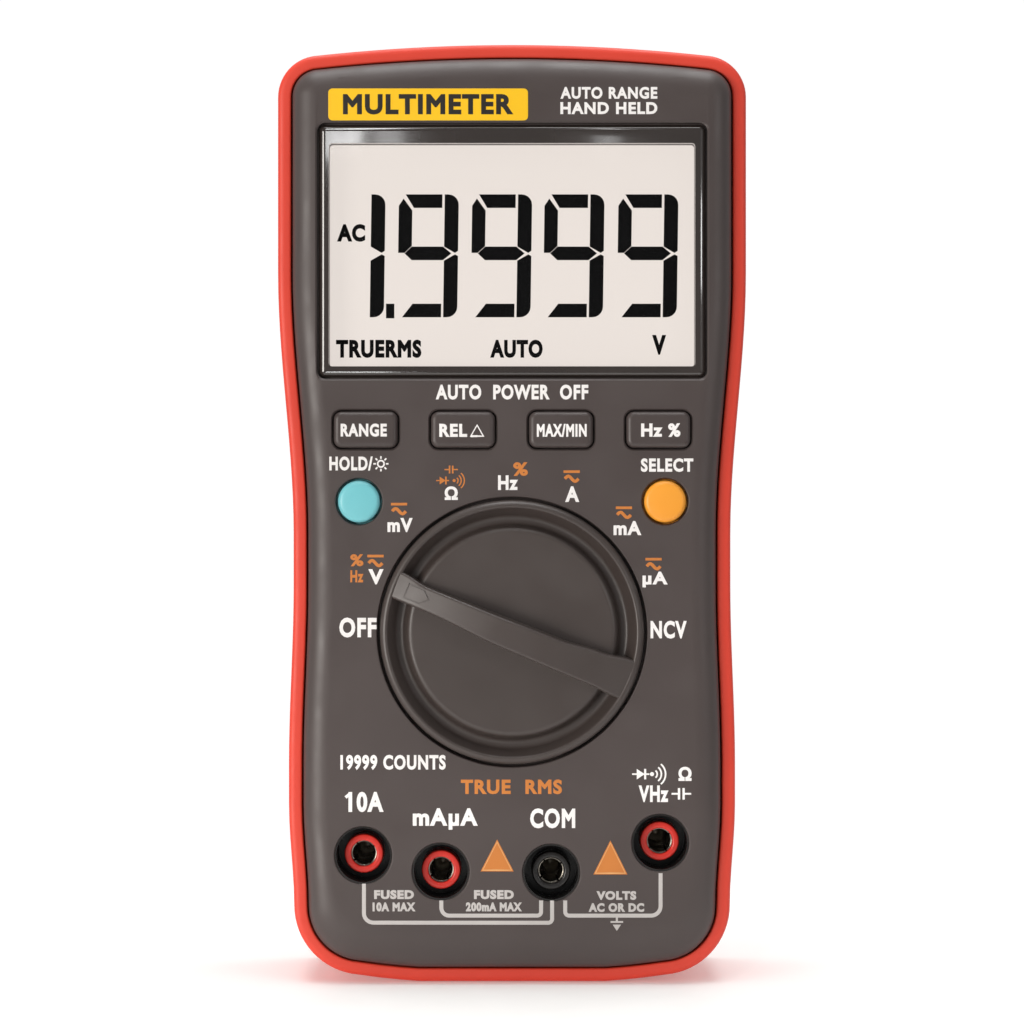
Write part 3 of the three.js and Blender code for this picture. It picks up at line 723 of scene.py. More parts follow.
def gather(forms: Iterable[BMesh]) -> BMesh:
    """Puts several forms into one, each as it is. The forms are used up."""
    whole = bmesh.new()
    for form in forms:
        mesh = bpy.data.meshes.new("part")
        form.to_mesh(mesh)
        form.free()
        whole.from_mesh(mesh)
        bpy.data.meshes.remove(mesh)
    return whole


def turned(form: BMesh, angle: float, centre: tuple[float, float]) -> BMesh:
    """A form turned on the front about a centre, anticlockwise in radians."""
    middle = Matrix.Translation((-centre[0], -centre[1], 0))
    bmesh.ops.rotate(form, matrix=Matrix.Rotation(angle, 3, "Z"), space=middle, verts=form.verts)
    return form


def finish_piece(
    name: str,
    form: BMesh,
    look: Finish,
    body: str,
    replaces: Sequence[str] = (),
    crease: float = 38.0,
) -> bpy.types.Object:
    """Turns a form into a finished piece on its body.

    Args:
        name: The piece's name.
        form: Its shape in millimetres on the front. It is used up.
        look: Its finish.
        body: The body that it rides on.
        replaces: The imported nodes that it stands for.
        crease: Edges sharper than this many degrees stay sharp.

    Returns:
        The piece.
    """
    close_and_face_out(form)
    bmesh.ops.transform(form, matrix=PANEL, verts=form.verts)
    mesh = bpy.data.meshes.new(name)
    form.to_mesh(mesh)
    form.free()
    mesh.shade_smooth()
    mesh.set_sharp_from_angle(angle=math.radians(crease))
    mesh.materials.append(look.make())
    piece = bpy.data.objects.new(name, mesh)
    bpy.context.scene.collection.objects.link(piece)
    even = piece.modifiers.new("even_shading", "WEIGHTED_NORMAL")
    even.keep_sharp = True
    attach(piece, body)
    if replaces:
        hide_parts(*replaces)
    LOG.info("%s: %d faces on %s", name, len(mesh.polygons), body)
    return piece


# ---------------------------------------------------------------- print


@dataclass(frozen=True)
class Mark:
    """Words and the box that they fill: middle, width, lower edge and height in millimetres."""

    words: str
    x: float
    width: float
    low: float
    height: float


def flattened(form: BMesh, level: float, thickness: float = INK) -> BMesh:
    """Presses a form to a thin layer that starts at a level."""
    depths = [v.co.z for v in form.verts]
    low, span = min(depths), max(max(depths) - min(depths), 1e-6)
    for vertex in form.verts:
        vertex.co.z = level + (vertex.co.z - low) / span * thickness
    return form


def from_curve(curve: bpy.types.Curve) -> BMesh:
    """A curve's or text's shape as a form. The curve is used up."""
    holder = bpy.data.objects.new("curve", curve)
    bpy.context.scene.collection.objects.link(holder)
    form = evaluated(holder)
    discard(holder)
    return form


def lettering(mark: Mark, level: float, weight: float = 0.042) -> BMesh:
    """Prints words into their box.

    Args:
        mark: The words and their box.
        level: The level of the surface that they are printed on.
        weight: How far each stroke is thickened, as a share of the letter size.

    Returns:
        The layer of ink.
    """
    text = bpy.data.curves.new("words", "FONT")
    text.body = mark.words
    text.resolution_u = 4
    text.space_character = 1.14
    text.bevel_depth = weight
    text.bevel_resolution = 0
    form = from_curve(text)
    xs, ys = [v.co.x for v in form.verts], [v.co.y for v in form.verts]
    left, low = min(xs), min(ys)
    wide, tall = mark.width / (max(xs) - left), mark.height / (max(ys) - low)
    for vertex in form.verts:
        vertex.co.x = mark.x - mark.width / 2 + (vertex.co.x - left) * wide
        vertex.co.y = mark.low + (vertex.co.y - low) * tall
    return flattened(form, level)


def stroke(points: Sequence[tuple[float, float]], width: float, level: float) -> BMesh:
    """Prints a line through points.

    Args:
        points: The line's points on the front.
        width: The line's width.
        level: The level of the surface that it is printed on.

    Returns:
        The layer of ink.
    """
    line = bpy.data.curves.new("line", "CURVE")
    line.dimensions = "3D"
    line.bevel_depth = width / 2
    line.bevel_resolution = 2
    line.use_fill_caps = True
    path = line.splines.new("POLY")
    path.points.add(len(points) - 1)
    for spot, (x, y) in zip(path.points, points):
        spot.co = (x, y, 0, 1)
    return flattened(from_curve(line), level)


def arc(
    centre: tuple[float, float], radius: float, start: float, end: float, steps: int = 8
) -> list[tuple[float, float]]:
    """Points along an arc, with angles in degrees."""
    angles = [math.radians(start + (end - start) * i / steps) for i in range(steps + 1)]
    return [(centre[0] + radius * math.cos(a), centre[1] + radius * math.sin(a)) for a in angles]


def dot(centre: tuple[float, float], radius: float, level: float) -> BMesh:
    """Prints a round dot."""
    return bar(radius, level, level + INK, centre, 16)


# ---------------------------------------------------------------- the case outline


@dataclass(frozen=True)
class CasePlan:
    """The outline of the meter seen from the front, and the same outline moved inwards."""

    length: float = 180.0
    head_half: float = 45.0
    waist_half: float = 42.0
    heel_half: float = 42.9
    base_half: float = 41.9
    head_low: float = 136.0
    waist: tuple[float, float] = (86.0, 76.0)
    heel: tuple[float, float] = (42.0, 34.0)
    top_arc_radius: float = 345.0
    top_corner: float = 8.0
    base_corner: float = 13.4
    base_corner_height: float = 14.6
    base_flat_half: float = 18.0
    base_slope: float = math.radians(4.6)

    def draw_in(self, from_x: float, from_y: float, to_x: float, to_y: float, steps: int) -> list[Vector]:
        """An S-shaped stretch of the side whose two ends run along the length."""
        shares = [i / steps for i in range(steps + 1)]
        return [
            Vector((from_x + (to_x - from_x) * t * t * (3 - 2 * t), from_y + (to_y - from_y) * t))
            for t in shares
        ]

    def foot(self) -> list[Vector]:
        """The bottom end from the middle line round its corner."""
        corner_x = self.base_half - self.base_corner
        start = self.base_slope - math.pi / 2
        join = Vector((corner_x, self.base_corner_height)) + self.base_corner * Vector(
            (math.cos(start), math.sin(start))
        )
        flat = Vector((self.base_flat_half, 0))
        bend = Vector(((self.base_flat_half + join.x) / 2, join.y * 0.3))
        curve = [flat * (1 - t) ** 2 + bend * (2 * t * (1 - t)) + join * t**2 for t in (0, 0.33, 0.66)]
        round_it = arc(
            (corner_x, self.base_corner_height), self.base_corner, math.degrees(start), 0, 16
        )
        return [Vector((0, 0)), Vector((9, 0)), *curve, *(Vector(p) for p in round_it)]

    def head(self) -> list[Vector]:
        """The top end from the side round its corner to the middle line."""
        corner_x = self.head_half - self.top_corner
        arc_low = self.length - self.top_arc_radius
        corner_y = arc_low + math.sqrt((self.top_arc_radius - self.top_corner) ** 2 - corner_x**2)
        turn = math.degrees(math.atan2(corner_y - arc_low, corner_x))
        corner = arc((corner_x, corner_y), self.top_corner, 0, turn, 14)
        crown = arc((0, arc_low), self.top_arc_radius, turn, 90, 10)
        return [Vector(p) for p in corner + crown]

    def right_half(self) -> list[Vector]:
        """The right half of the outline, from the middle of the bottom to the middle of the top."""
        side = [
            *self.draw_in(self.base_half, self.base_corner_height, self.heel_half, self.heel[1], 6),
            *self.draw_in(self.heel_half, self.heel[0], self.waist_half, self.waist[1], 10),
            *self.draw_in(self.waist_half, self.waist[0], self.head_half, self.head_low, 14),
            Vector((self.head_half, 150)),
        ]
        points = [*self.foot(), *side, *self.head()]
        return [p for i, p in enumerate(points) if i == 0 or (p - points[i - 1]).length > 1e-3]

    def ring(self, inset: float | Callable[[Vector], float], level: float) -> list[Vector]:
        """The outline moved inwards.

        Args:
            inset: How far it moves in, or how far as a function of the point.
            level: The level that the ring is on.

        Returns:
            The ring's points.
        """
        right = self.right_half()
        loop = right + [Vector((-p.x, p.y)) for p in reversed(right[1:-1])]
        ring = []
        for i, point in enumerate(loop):
            before = (point - loop[i - 1]).normalized()
            after = (loop[(i + 1) % len(loop)] - point).normalized()
            normal = Vector((-before.y - after.y, before.x + after.x)).normalized()
            stretch = 1 / max(0.5, normal.dot(Vector((-after.y, after.x))))
            distance = inset(point) if callable(inset) else inset
            moved = point + normal * distance * stretch
            ring.append(Vector((moved.x, moved.y, level)))
        return ring


PLAN = CasePlan()


# ---------------------------------------------------------------- mouldings of the housing


@dataclass
class RubberBoot:
    """The soft boot round the case, rounded at its lips."""

    wall: float = 2.6
    front: float = 13.5
    back: float = -23.5
    back_wall_inside: float = -21.8
    back_lip: float = 5.5
    rounding: float = 1.5
    grips: int = 7
    grip_pitch: float = 5.0
    grip_low: float = 58.0

    def section(self) -> list[tuple[float, float]]:
        """The boot's wall in section, as (inset, level) from the inside of the front lip round."""
        corners = [
            (self.wall, 0.0, 0.0),
            (self.wall, self.front, 0.45),
            (0.0, self.front, self.rounding),
            (0.0, self.back, self.rounding),
            (self.back_lip, self.back, 0.6),
            (self.back_lip, self.back_wall_inside, 0.3),
            (self.wall, self.back_wall_inside, 0.0),
            (self.wall, -10.0, 0.0),
        ]
        return softened(corners, steps=5)

    def grip_tools(self) -> list[BMesh]:
        """Shallow grooves across both sides at the waist."""
        tools = []
        for side in (-1, 1):
            for i in range(self.grips):
                y = self.grip_low + i * self.grip_pitch
                half = abs(self.side_at(y))
                groove = Rect(side * (half + 0.6), y, 2.4, 1.5, 0.7)
                tools.append(plate(groove, -15, 5))
        return tools

    def side_at(self, y: float) -> float:
        """The outline's half width at a height."""
        near = [p for p in PLAN.right_half() if p.x > 30]
        after = next(p for p in near if p.y >= y)
        before = near[near.index(after) - 1]
        share = (y - before.y) / (after.y - before.y)
        return before.x + (after.x - before.x) * share

    def build(self) -> None:
        """Builds the boot."""
        form = loft([PLAN.ring(inset, level) for inset, level in self.section()], endless=True)
        form = put_together(form, self.grip_tools(), Join.CUT)
        finish_piece("boot", form, Finishes.boot, "housing", ["rubber_boot"])


@dataclass
class Shell:
    """One half of the case: a shelled moulding with its open side at the parting plane."""

    inset: float = 2.9
    wall: float = 2.2
    parting: float = 0.1
    screws: Sequence[str] = ("upper_left", "upper_right", "lower_left", "lower_right")

    def screw_places(self) -> list[tuple[float, float]]:
        """Where the case screws are."""
        return [node_centre(f"case_screw_{corner}") for corner in self.screws]


@dataclass
class FrontCase(Shell):
    """The front moulding, with its rolled edge, display recess, knob well, key holes and jack wells."""

    roll: float = 4.6
    foot_roll: float = 7.2
    roll_depth: float = 4.0
    roll_steps: int = 9
    pocket_floor: float = 15.7
    knob_well: float = 25.7
    well_floor: float = 14.5
    hub_hole: float = 8.6
    jack_well: float = 5.45
    edge: float = 0.35

    def roll_at(self, point: Vector) -> float:
        """How far in the face is rounded over: further at the foot than along the sides."""
        share = min(1.0, max(0.0, (22 - point.y) / 18))
        return self.roll + (self.foot_roll - self.roll) * share * share * (3 - 2 * share)

    def skin(self) -> BMesh:
        """The outside, with a soft quarter round between side and face."""
        start = FACE - self.roll_depth
        rings = [PLAN.ring(self.inset, level) for level in (self.parting, start / 2, start - 0.6)]
        for step in range(self.roll_steps + 1):
            turn = math.pi / 2 * step / self.roll_steps
            level = start + self.roll_depth * math.sin(turn)
            rings.append(
                PLAN.ring(lambda p, t=turn: self.inset + self.roll_at(p) * (1 - math.cos(t)), level)
            )
        rings.append(PLAN.ring(lambda p: self.inset + self.roll_at(p) + 0.5, FACE))
        return loft(rings)

    def hollow(self) -> BMesh:
        """The space inside."""
        inner = self.inset + self.wall
        levels = [(inner, -1.0), (inner, 12.8), (inner + 2, FACE - self.wall)]
        return loft([PLAN.ring(inset, level) for inset, level in levels])

    def inner_walls(self) -> list[BMesh]:
        """Tubes and frames that stand on the inside of the face."""
        top = FACE - 0.5
        walls = [bar(self.knob_well + 1.6, 12.5, top, node_centre("selector_knob"), 96)]
        walls += [bar(self.jack_well + 1.4, 6.0, top, c) for c in self.jack_places()]
        walls.append(plate(Rect(0, 139.3, 76, 52, 1.5), 13.5, top))
        walls += [bar(3.0, self.parting, top, place, 24) for place in self.screw_places()]
        return walls

    def jack_places(self) -> list[tuple[float, float]]:
        """Where the jacks are."""
        return [node_centre(f"jack_collar_{name}") for name in ("10a", "ma", "com", "volts")]

    def well(self, radius: float, floor: float, centre: tuple[float, float], steps: int) -> BMesh:
        """A round hole with an eased edge at the face."""
        profile = [
            (0, floor),
            (radius, floor),
            (radius, FACE - self.edge),
            (radius + self.edge * 0.4, FACE - self.edge * 0.3),
            (radius + self.edge * 1.4, FACE + 0.1),
            (0, FACE + 0.1),
        ]
        return lathe(profile, centre, steps)

    def openings(self) -> list[BMesh]:
        """Everything that is cut from the front and stays clear of the rest."""
        eased = FACE - self.edge
        tools = [plate(WINDOW.grown(PLAY), self.pocket_floor, eased, -0.5)]
        tools.append(self.well(self.knob_well, self.well_floor, node_centre("selector_knob"), 120))
        tools += [self.well(self.jack_well, 5.0, centre, 64) for centre in self.jack_places()]
        for key in KeyPad.keys:
            if key.round_cap:
                tools.append(self.well(key.radius + key.gap, 12.0, key.place(), 64))
            else:
                tools.append(plate(key.cap().grown(PLAY), 12.0, FACE - 0.25, -0.35))
        return tools

    def build(self) -> None:
        """Builds the front moulding."""
        form = put_together(self.skin(), [self.hollow()], Join.CUT)
        form = put_together(form, self.inner_walls(), Join.ADD)
        form = put_together(form, self.openings(), Join.CUT)
        through = [plate(LCD_VIEW, 13.0, FACE + 1)]
        through.append(bar(self.hub_hole, 12.0, FACE, node_centre("selector_knob")))
        through += [bar(1.8, -1.0, 10.0, place, 20) for place in self.screw_places()]
        form = put_together(form, through, Join.CUT)
        finish_piece("case_front", form, Finishes.case, "housing", ["front_case"])


@dataclass
class RearCase(Shell):
    """The rear moulding, with the battery bay, the door's seat, the stand's pocket and the screw holes."""

    back: float = -21.5
    round_over: float = 2.0
    tray_floor: tuple[float, float] = (-16.4, -18.6)
    bay_half: float = 15.6
    bay: tuple[float, float] = (41.0, 97.0)
    bay_floor: float = -4.2
    bay_wall: float = 1.4
    screw_seat: float = -9.0
    screw_head: float = 3.1
    screw_shank: float = 1.8
    tray: Rect = rect_between(-34.1, 34.1, 18, 127)
    pocket_top: float = 124.3
    island_half: float = 22.5
    island_top: float = 126.0
    scoop_half: float = 10.0  # the notch that a finger lifts the stand by
    pin_half: float = 33.2
    pin_radius: float = 1.1
    door_seat: float = -19.2

    def skin(self) -> BMesh:
        """The outside, rounded over at the back."""
        rings = [PLAN.ring(self.inset, level) for level in (-self.parting, -10.0)]
        for step in range(6):
            turn = math.pi / 2 * step / 5
            inset = self.inset + self.round_over * (1 - math.cos(turn))
            rings.append(PLAN.ring(inset, self.back + self.round_over * (1 - math.sin(turn))))
        rings.append(PLAN.ring(self.inset + self.round_over + 0.5, self.back))
        return loft(rings)

    def hollow(self) -> BMesh:
        """The space inside."""
        inner = self.inset + self.wall
        return loft([PLAN.ring(inner, 1.0), PLAN.ring(inner, self.back + self.wall)])

    def inner_walls(self) -> tuple[list[BMesh], list[BMesh]]:
        """The tray and the bay's box, and the posts for the screws, as two sets that stay clear."""
        floor = self.back + self.wall - 0.5
        tray = plate(self.tray, floor, self.tray_floor[0])
        wall = self.bay_wall
        outer = rect_between(
            -self.bay_half - wall, self.bay_half + wall, self.bay[0] - wall, self.bay[1] + wall
        )
        box = plate(outer, self.tray_floor[0] - 1, -3.0)
        door_post = bar(3.4, self.tray_floor[0] - 1, -7.0, node_centre("battery_door_screw"), 24)
        posts = [bar(4.3, floor, -self.parting, place, 32) for place in self.screw_places()]
        return [tray, *posts], [box, door_post]

    def stand_pocket(self) -> BMesh:
        """The pocket that the folded stand lies in: a U round the seat of the battery door."""
        low, _ = node_span("tilt_stand")
        door_low, _ = node_span("battery_door")
        out = self.back - 1
        floor = self.tray_floor[1]
        half = STAND_HALF + PLAY
        whole = plate(rect_between(-half, half, low.y - PLAY, self.pocket_top, 1.0), out, floor)
        around_door = rect_between(
            -self.island_half, self.island_half, door_low.y - 2, self.island_top, 1.5
        )
        island = plate(around_door, out - 1, 0)
        notch = rect_between(-self.scoop_half, self.scoop_half, low.y - PLAY - 5, low.y + 1, 2.5)
        scoop = plate(notch, out, floor)
        return put_together(put_together(whole, [island], Join.CUT), [scoop], Join.ADD)

    def build(self) -> None:
        """Builds the rear moulding."""
        form = put_together(self.skin(), [self.hollow()], Join.CUT)
        first, second = self.inner_walls()
        form = put_together(form, first, Join.ADD)
        form = put_together(form, second, Join.ADD)
        low, high = node_span("battery_door")
        out = self.back - 1
        seat = rect_between(low.x - PLAY, high.x + PLAY, low.y - PLAY, high.y + PLAY, 1.2)
        bay = rect_between(-self.bay_half, self.bay_half, *self.bay)
        door_screw = node_centre("battery_door_screw")
        places = self.screw_places()
        pin = bar(self.pin_radius, -self.pin_half, self.pin_half, (0, 0), 16)
        bmesh.ops.rotate(pin, matrix=Matrix.Rotation(math.pi / 2, 3, "Y"), verts=pin.verts)
        bmesh.ops.translate(pin, verts=pin.verts, vec=(0, HINGE_HEIGHT, -HINGE_BEHIND))
        form = put_together(form, [self.stand_pocket()], Join.CUT)
        form = put_together(form, [plate(seat, out, self.door_seat)], Join.CUT)
        holes = [plate(bay, out, self.bay_floor), bar(self.screw_shank, out, -8.5, door_screw, 20)]
        holes += [bar(self.screw_head, out, self.screw_seat, place, 32) for place in places]
        form = put_together(form, [*holes, pin], Join.CUT)
        shanks = [bar(self.screw_shank, out, 1.0, place, 20) for place in places]
        form = put_together(form, shanks, Join.CUT)
        finish_piece("case_rear", form, Finishes.case, "housing", ["rear_case"])


@dataclass
class BatteryDoor:
    """The door over the cells, with grip ribs and a countersunk screw seat."""

    edge: float = 0.4
    ribs: int = 5
    rib_pitch: float = 2.6
    rib_low: float = 44.0

    def build(self) -> None:
        """Builds the door. Its outside faces away from the user, so it is made facing forward and turned."""
        low, high = node_span("battery_door")
        screw_x, screw_y = node_centre("battery_door_screw")
        front = -low.z
        form = plate(rect_between(low.x, high.x, low.y, high.y, 1.0), -high.z, front, self.edge)
        grooves = [
            plate(Rect(0, self.rib_low + i * self.rib_pitch, 20 - i, 1.1, 0.5), front - 0.35, front + 1)
            for i in range(self.ribs)
        ]
        seat = [
            (0, front - 0.9),
            (3.1, front - 0.9),
            (3.1, front - 0.3),
            (3.5, front + 0.1),
            (0, front + 0.1),
        ]
        form = put_together(form, [*grooves, lathe(seat, (screw_x, screw_y))], Join.CUT)
        hole = bar(1.8, -high.z - 1, front + 1, (screw_x, screw_y), 24)
        form = put_together(form, [hole], Join.CUT)
        finish_piece(
            "door", turned_over(form), Finishes.case, "door", ["battery_door"]
        )


def turned_over(form: BMesh) -> BMesh:
    """A form that was made facing the user, turned about the upright axis to face away."""
    bmesh.ops.rotate(form, matrix=Matrix.Rotation(math.pi, 3, "Y"), verts=form.verts)
    return form


@dataclass
class TiltStand:
    """The U-shaped stand, with softened edges, a stiffening groove and a knuckle on each arm."""

    half: float = STAND_HALF
    arm: float = 8.0
    hinge: float = HINGE_HEIGHT
    edge: float = 0.45
    knuckle: float = 1.3
    pin: float = 0.8

    def cross_bar(self, radius: float, left: float, right: float) -> BMesh:
        """A round bar across the meter on the hinge line, as seen from behind."""
        form = lathe(softened([(0, left), (radius, left), (radius, right), (0, right)], 0.25), steps=28)
        bmesh.ops.rotate(form, matrix=Matrix.Rotation(math.pi / 2, 3, "Y"), verts=form.verts)
        bmesh.ops.translate(form, verts=form.verts, vec=(0, self.hinge, HINGE_BEHIND))
        return form

    def on_both_arms(self, near: float, far: float) -> list[tuple[float, float]]:
        """A stretch across each arm, from left to right, by its two distances from the middle."""
        return [(-far, -near), (near, far)]

    def build(self) -> None:
        """Builds the stand."""
        low, high = node_span("tilt_stand")
        front, inner = -low.z, self.half - self.arm
        whole = rect_between(-self.half, self.half, low.y, self.hinge, 4.0)
        form = plate(whole, -high.z, front, self.edge)
        between = rect_between(-inner, inner, low.y + 10, self.hinge + 9, 2.0)
        gap = plate(between, -high.z - 1, front + 1)
        form = put_together(form, [gap], Join.CUT)
        arms = self.on_both_arms(inner, self.half)
        heads = [
            plate(rect_between(left, right, self.hinge - 9, self.hinge), -high.z, front)
            for left, right in arms
        ]
        form = put_together(form, heads, Join.ADD)
        knuckles = [self.cross_bar(self.knuckle, *arm) for arm in arms]
        form = put_together(form, knuckles, Join.ADD)
        pins = [self.cross_bar(self.pin, *arm) for arm in self.on_both_arms(inner + 1, self.half + 1.9)]
        form = put_together(form, pins, Join.ADD)
        middle = self.half - self.arm / 2
        grooves = [plate(Rect(s * middle, 76, 2.2, 72, 1.0), front - 0.4, front + 1) for s in (-1, 1)]
        grooves.append(plate(Rect(0, low.y + 5, 34, 2.2, 1.0), front - 0.4, front + 1))
        form = put_together(form, grooves, Join.CUT)
        finish_piece(
            "stand_bail", turned_over(form), Finishes.case, "stand", ["tilt_stand"]
        )


@dataclass
class CrossHeadScrew:
    """A pan-head screw with a cross recess in its head."""

    node: str
    body: str
    recess: float = 1.1

    def build(self) -> None:
        """Builds the screw, turned round so that its head faces away from the user."""
        low, high = node_span(self.node)
        x, y = node_centre(self.node)
        head, tip = -low.z, -high.z
        seat = head - (2.4 if self.body == "housing" else 1.75)
        profile = [(0, tip), (0.8, tip), (1.5, tip + 1.2), (1.5, seat), (2.8, seat), (2.8, head), (0, head)]
        form = lathe(softened(profile, 0.45), (-x, y), 40)
        floor = head - self.recess
        for wide, tall in ((3.2, 0.75), (0.75, 3.2)):
            slot = plate(Rect(-x, y, wide, tall), floor, head + 1)
            form = put_together(form, [slot], Join.CUT)
        finish_piece(
            f"{self.node}_cross", turned_over(form), Finishes.steel, self.body, [self.node]
        )


# ---------------------------------------------------------------- display


class Segment(Enum):
    """The bars of a digit."""

    TOP = "top"
    UPPER_LEFT = "upper left"
    UPPER_RIGHT = "upper right"
    MIDDLE = "middle"
    LOWER_RIGHT = "lower right"
    BOTTOM = "bottom"


@dataclass
class Digits:
    """Figures of the liquid crystal display: bars with mitred gaps and rounded outer corners."""

    width: float = 11.5
    height: float = 23.6
    base: float = 127.6
    thick: float = 2.6
    lean: float = 0.014
    nines: Sequence[float] = (-21.87, -7.79, 6.11, 20.30)
    one_right: float = -24.45

    def outline(self, segment: Segment) -> list[tuple[float, float]]:
        """A bar's outline, from the figure's lower left corner."""
        w, h, t = self.width, self.height, self.thick
        mid = h * 0.52
        corner = arc((w - 2.0, h - 2.0), 2.0, 90, 0, 5)
        foot = arc((w - 2.0, 2.0), 2.0, 0, -90, 5)
        shapes = {
            Segment.TOP: [(1.3, h), (w - 3.15, h), (w - 3.15, h - t), (2.9, h - t)],
            Segment.UPPER_LEFT: [
                (0, mid + 0.1),
                (0, h - 2.2),
                (0.9, h - 0.8),
                (2.6, h - t - 0.5),
                (2.6, mid + 1.4),
                (1.2, mid + 0.1),
            ],
            Segment.UPPER_RIGHT: [
                (w - 2.7, h),
                *corner,
                (w, mid + 0.5),
                (w - 0.6, mid + 0.1),
                (w - 2.7, mid + 1.3),
            ],
            Segment.MIDDLE: [
                (1.2, mid),
                (2.6, mid + 1.3),
                (w - 2.9, mid + 1.3),
                (w - 1.3, mid),
                (w - 2.9, mid - 1.3),
                (2.6, mid - 1.3),
            ],
            Segment.LOWER_RIGHT: [
                (w - 2.7, mid - 1.4),
                (w - 0.6, mid - 0.2),
                (w, mid - 0.5),
                *foot,
                (w - 2.7, 0),
            ],
            Segment.BOTTOM: [(0.9, 0), (2.9, t), (w - 3.1, t), (w - 3.1, 0)],
        }
        return shapes[segment]

    def figure(self, left: float, segments: Iterable[Segment]) -> list[BMesh]:
        """One figure."""
        bars = []
        for segment in segments:
            moved = [
                (left + x + (y - self.height / 2) * self.lean, self.base + y)
                for x, y in self.outline(segment)
            ]
            bars.append(prism(moved, LCD_PRINT, LCD_PRINT + INK))
        return bars

    def forms(self) -> list[BMesh]:
        """The whole reading, with its decimal point."""
        bars = self.figure(self.one_right - self.width, (Segment.UPPER_RIGHT, Segment.LOWER_RIGHT))
        for left in self.nines:
            bars += self.figure(left, Segment)
        point = [(-24.2, 127.4), (-22.6, 127.4), (-22.6, 130.2), (-24.2, 130.2)]
        bars.append(prism(point, LCD_PRINT, LCD_PRINT + INK))
        return bars


@dataclass
class Display:
    """The window, its printed mask, and the liquid crystal panel behind it."""

    digits: Digits = field(default_factory=Digits)
    words: Sequence[Mark] = (
        Mark("AC", -30.9, 5.4, 142.1, 3.4),
        Mark("TRUERMS", -25.6, 16.4, 119.8, 3.5),
        Mark("AUTO", 0.85, 10.1, 119.8, 3.5),
        Mark("V", 28.25, 2.7, 120.4, 3.8),
    )

    def build(self) -> None:
        """Builds the window and the reading."""
        low, high = node_span("display_window")
        mask = plate(WINDOW, low.z, high.z, 1.3, 8)
        mask = put_together(mask, [plate(LCD_VIEW, low.z - 1, high.z + 1)], Join.CUT)
        finish_piece("display_mask", mask, Finishes.mask, "housing", crease=50)
        pane = plate(LCD_VIEW.grown(-0.02), low.z, high.z - 0.02, 0.05, 2)
        finish_piece(
            "display_pane", pane, Finishes.pane, "housing", ["display_window"]
        )
        marks = [lettering(mark, LCD_PRINT, 0.055) for mark in self.words]
        reading = gather([*self.digits.forms(), *marks])
        finish_piece("lcd_reading", reading, Finishes.segments, "housing")


# ---------------------------------------------------------------- selector


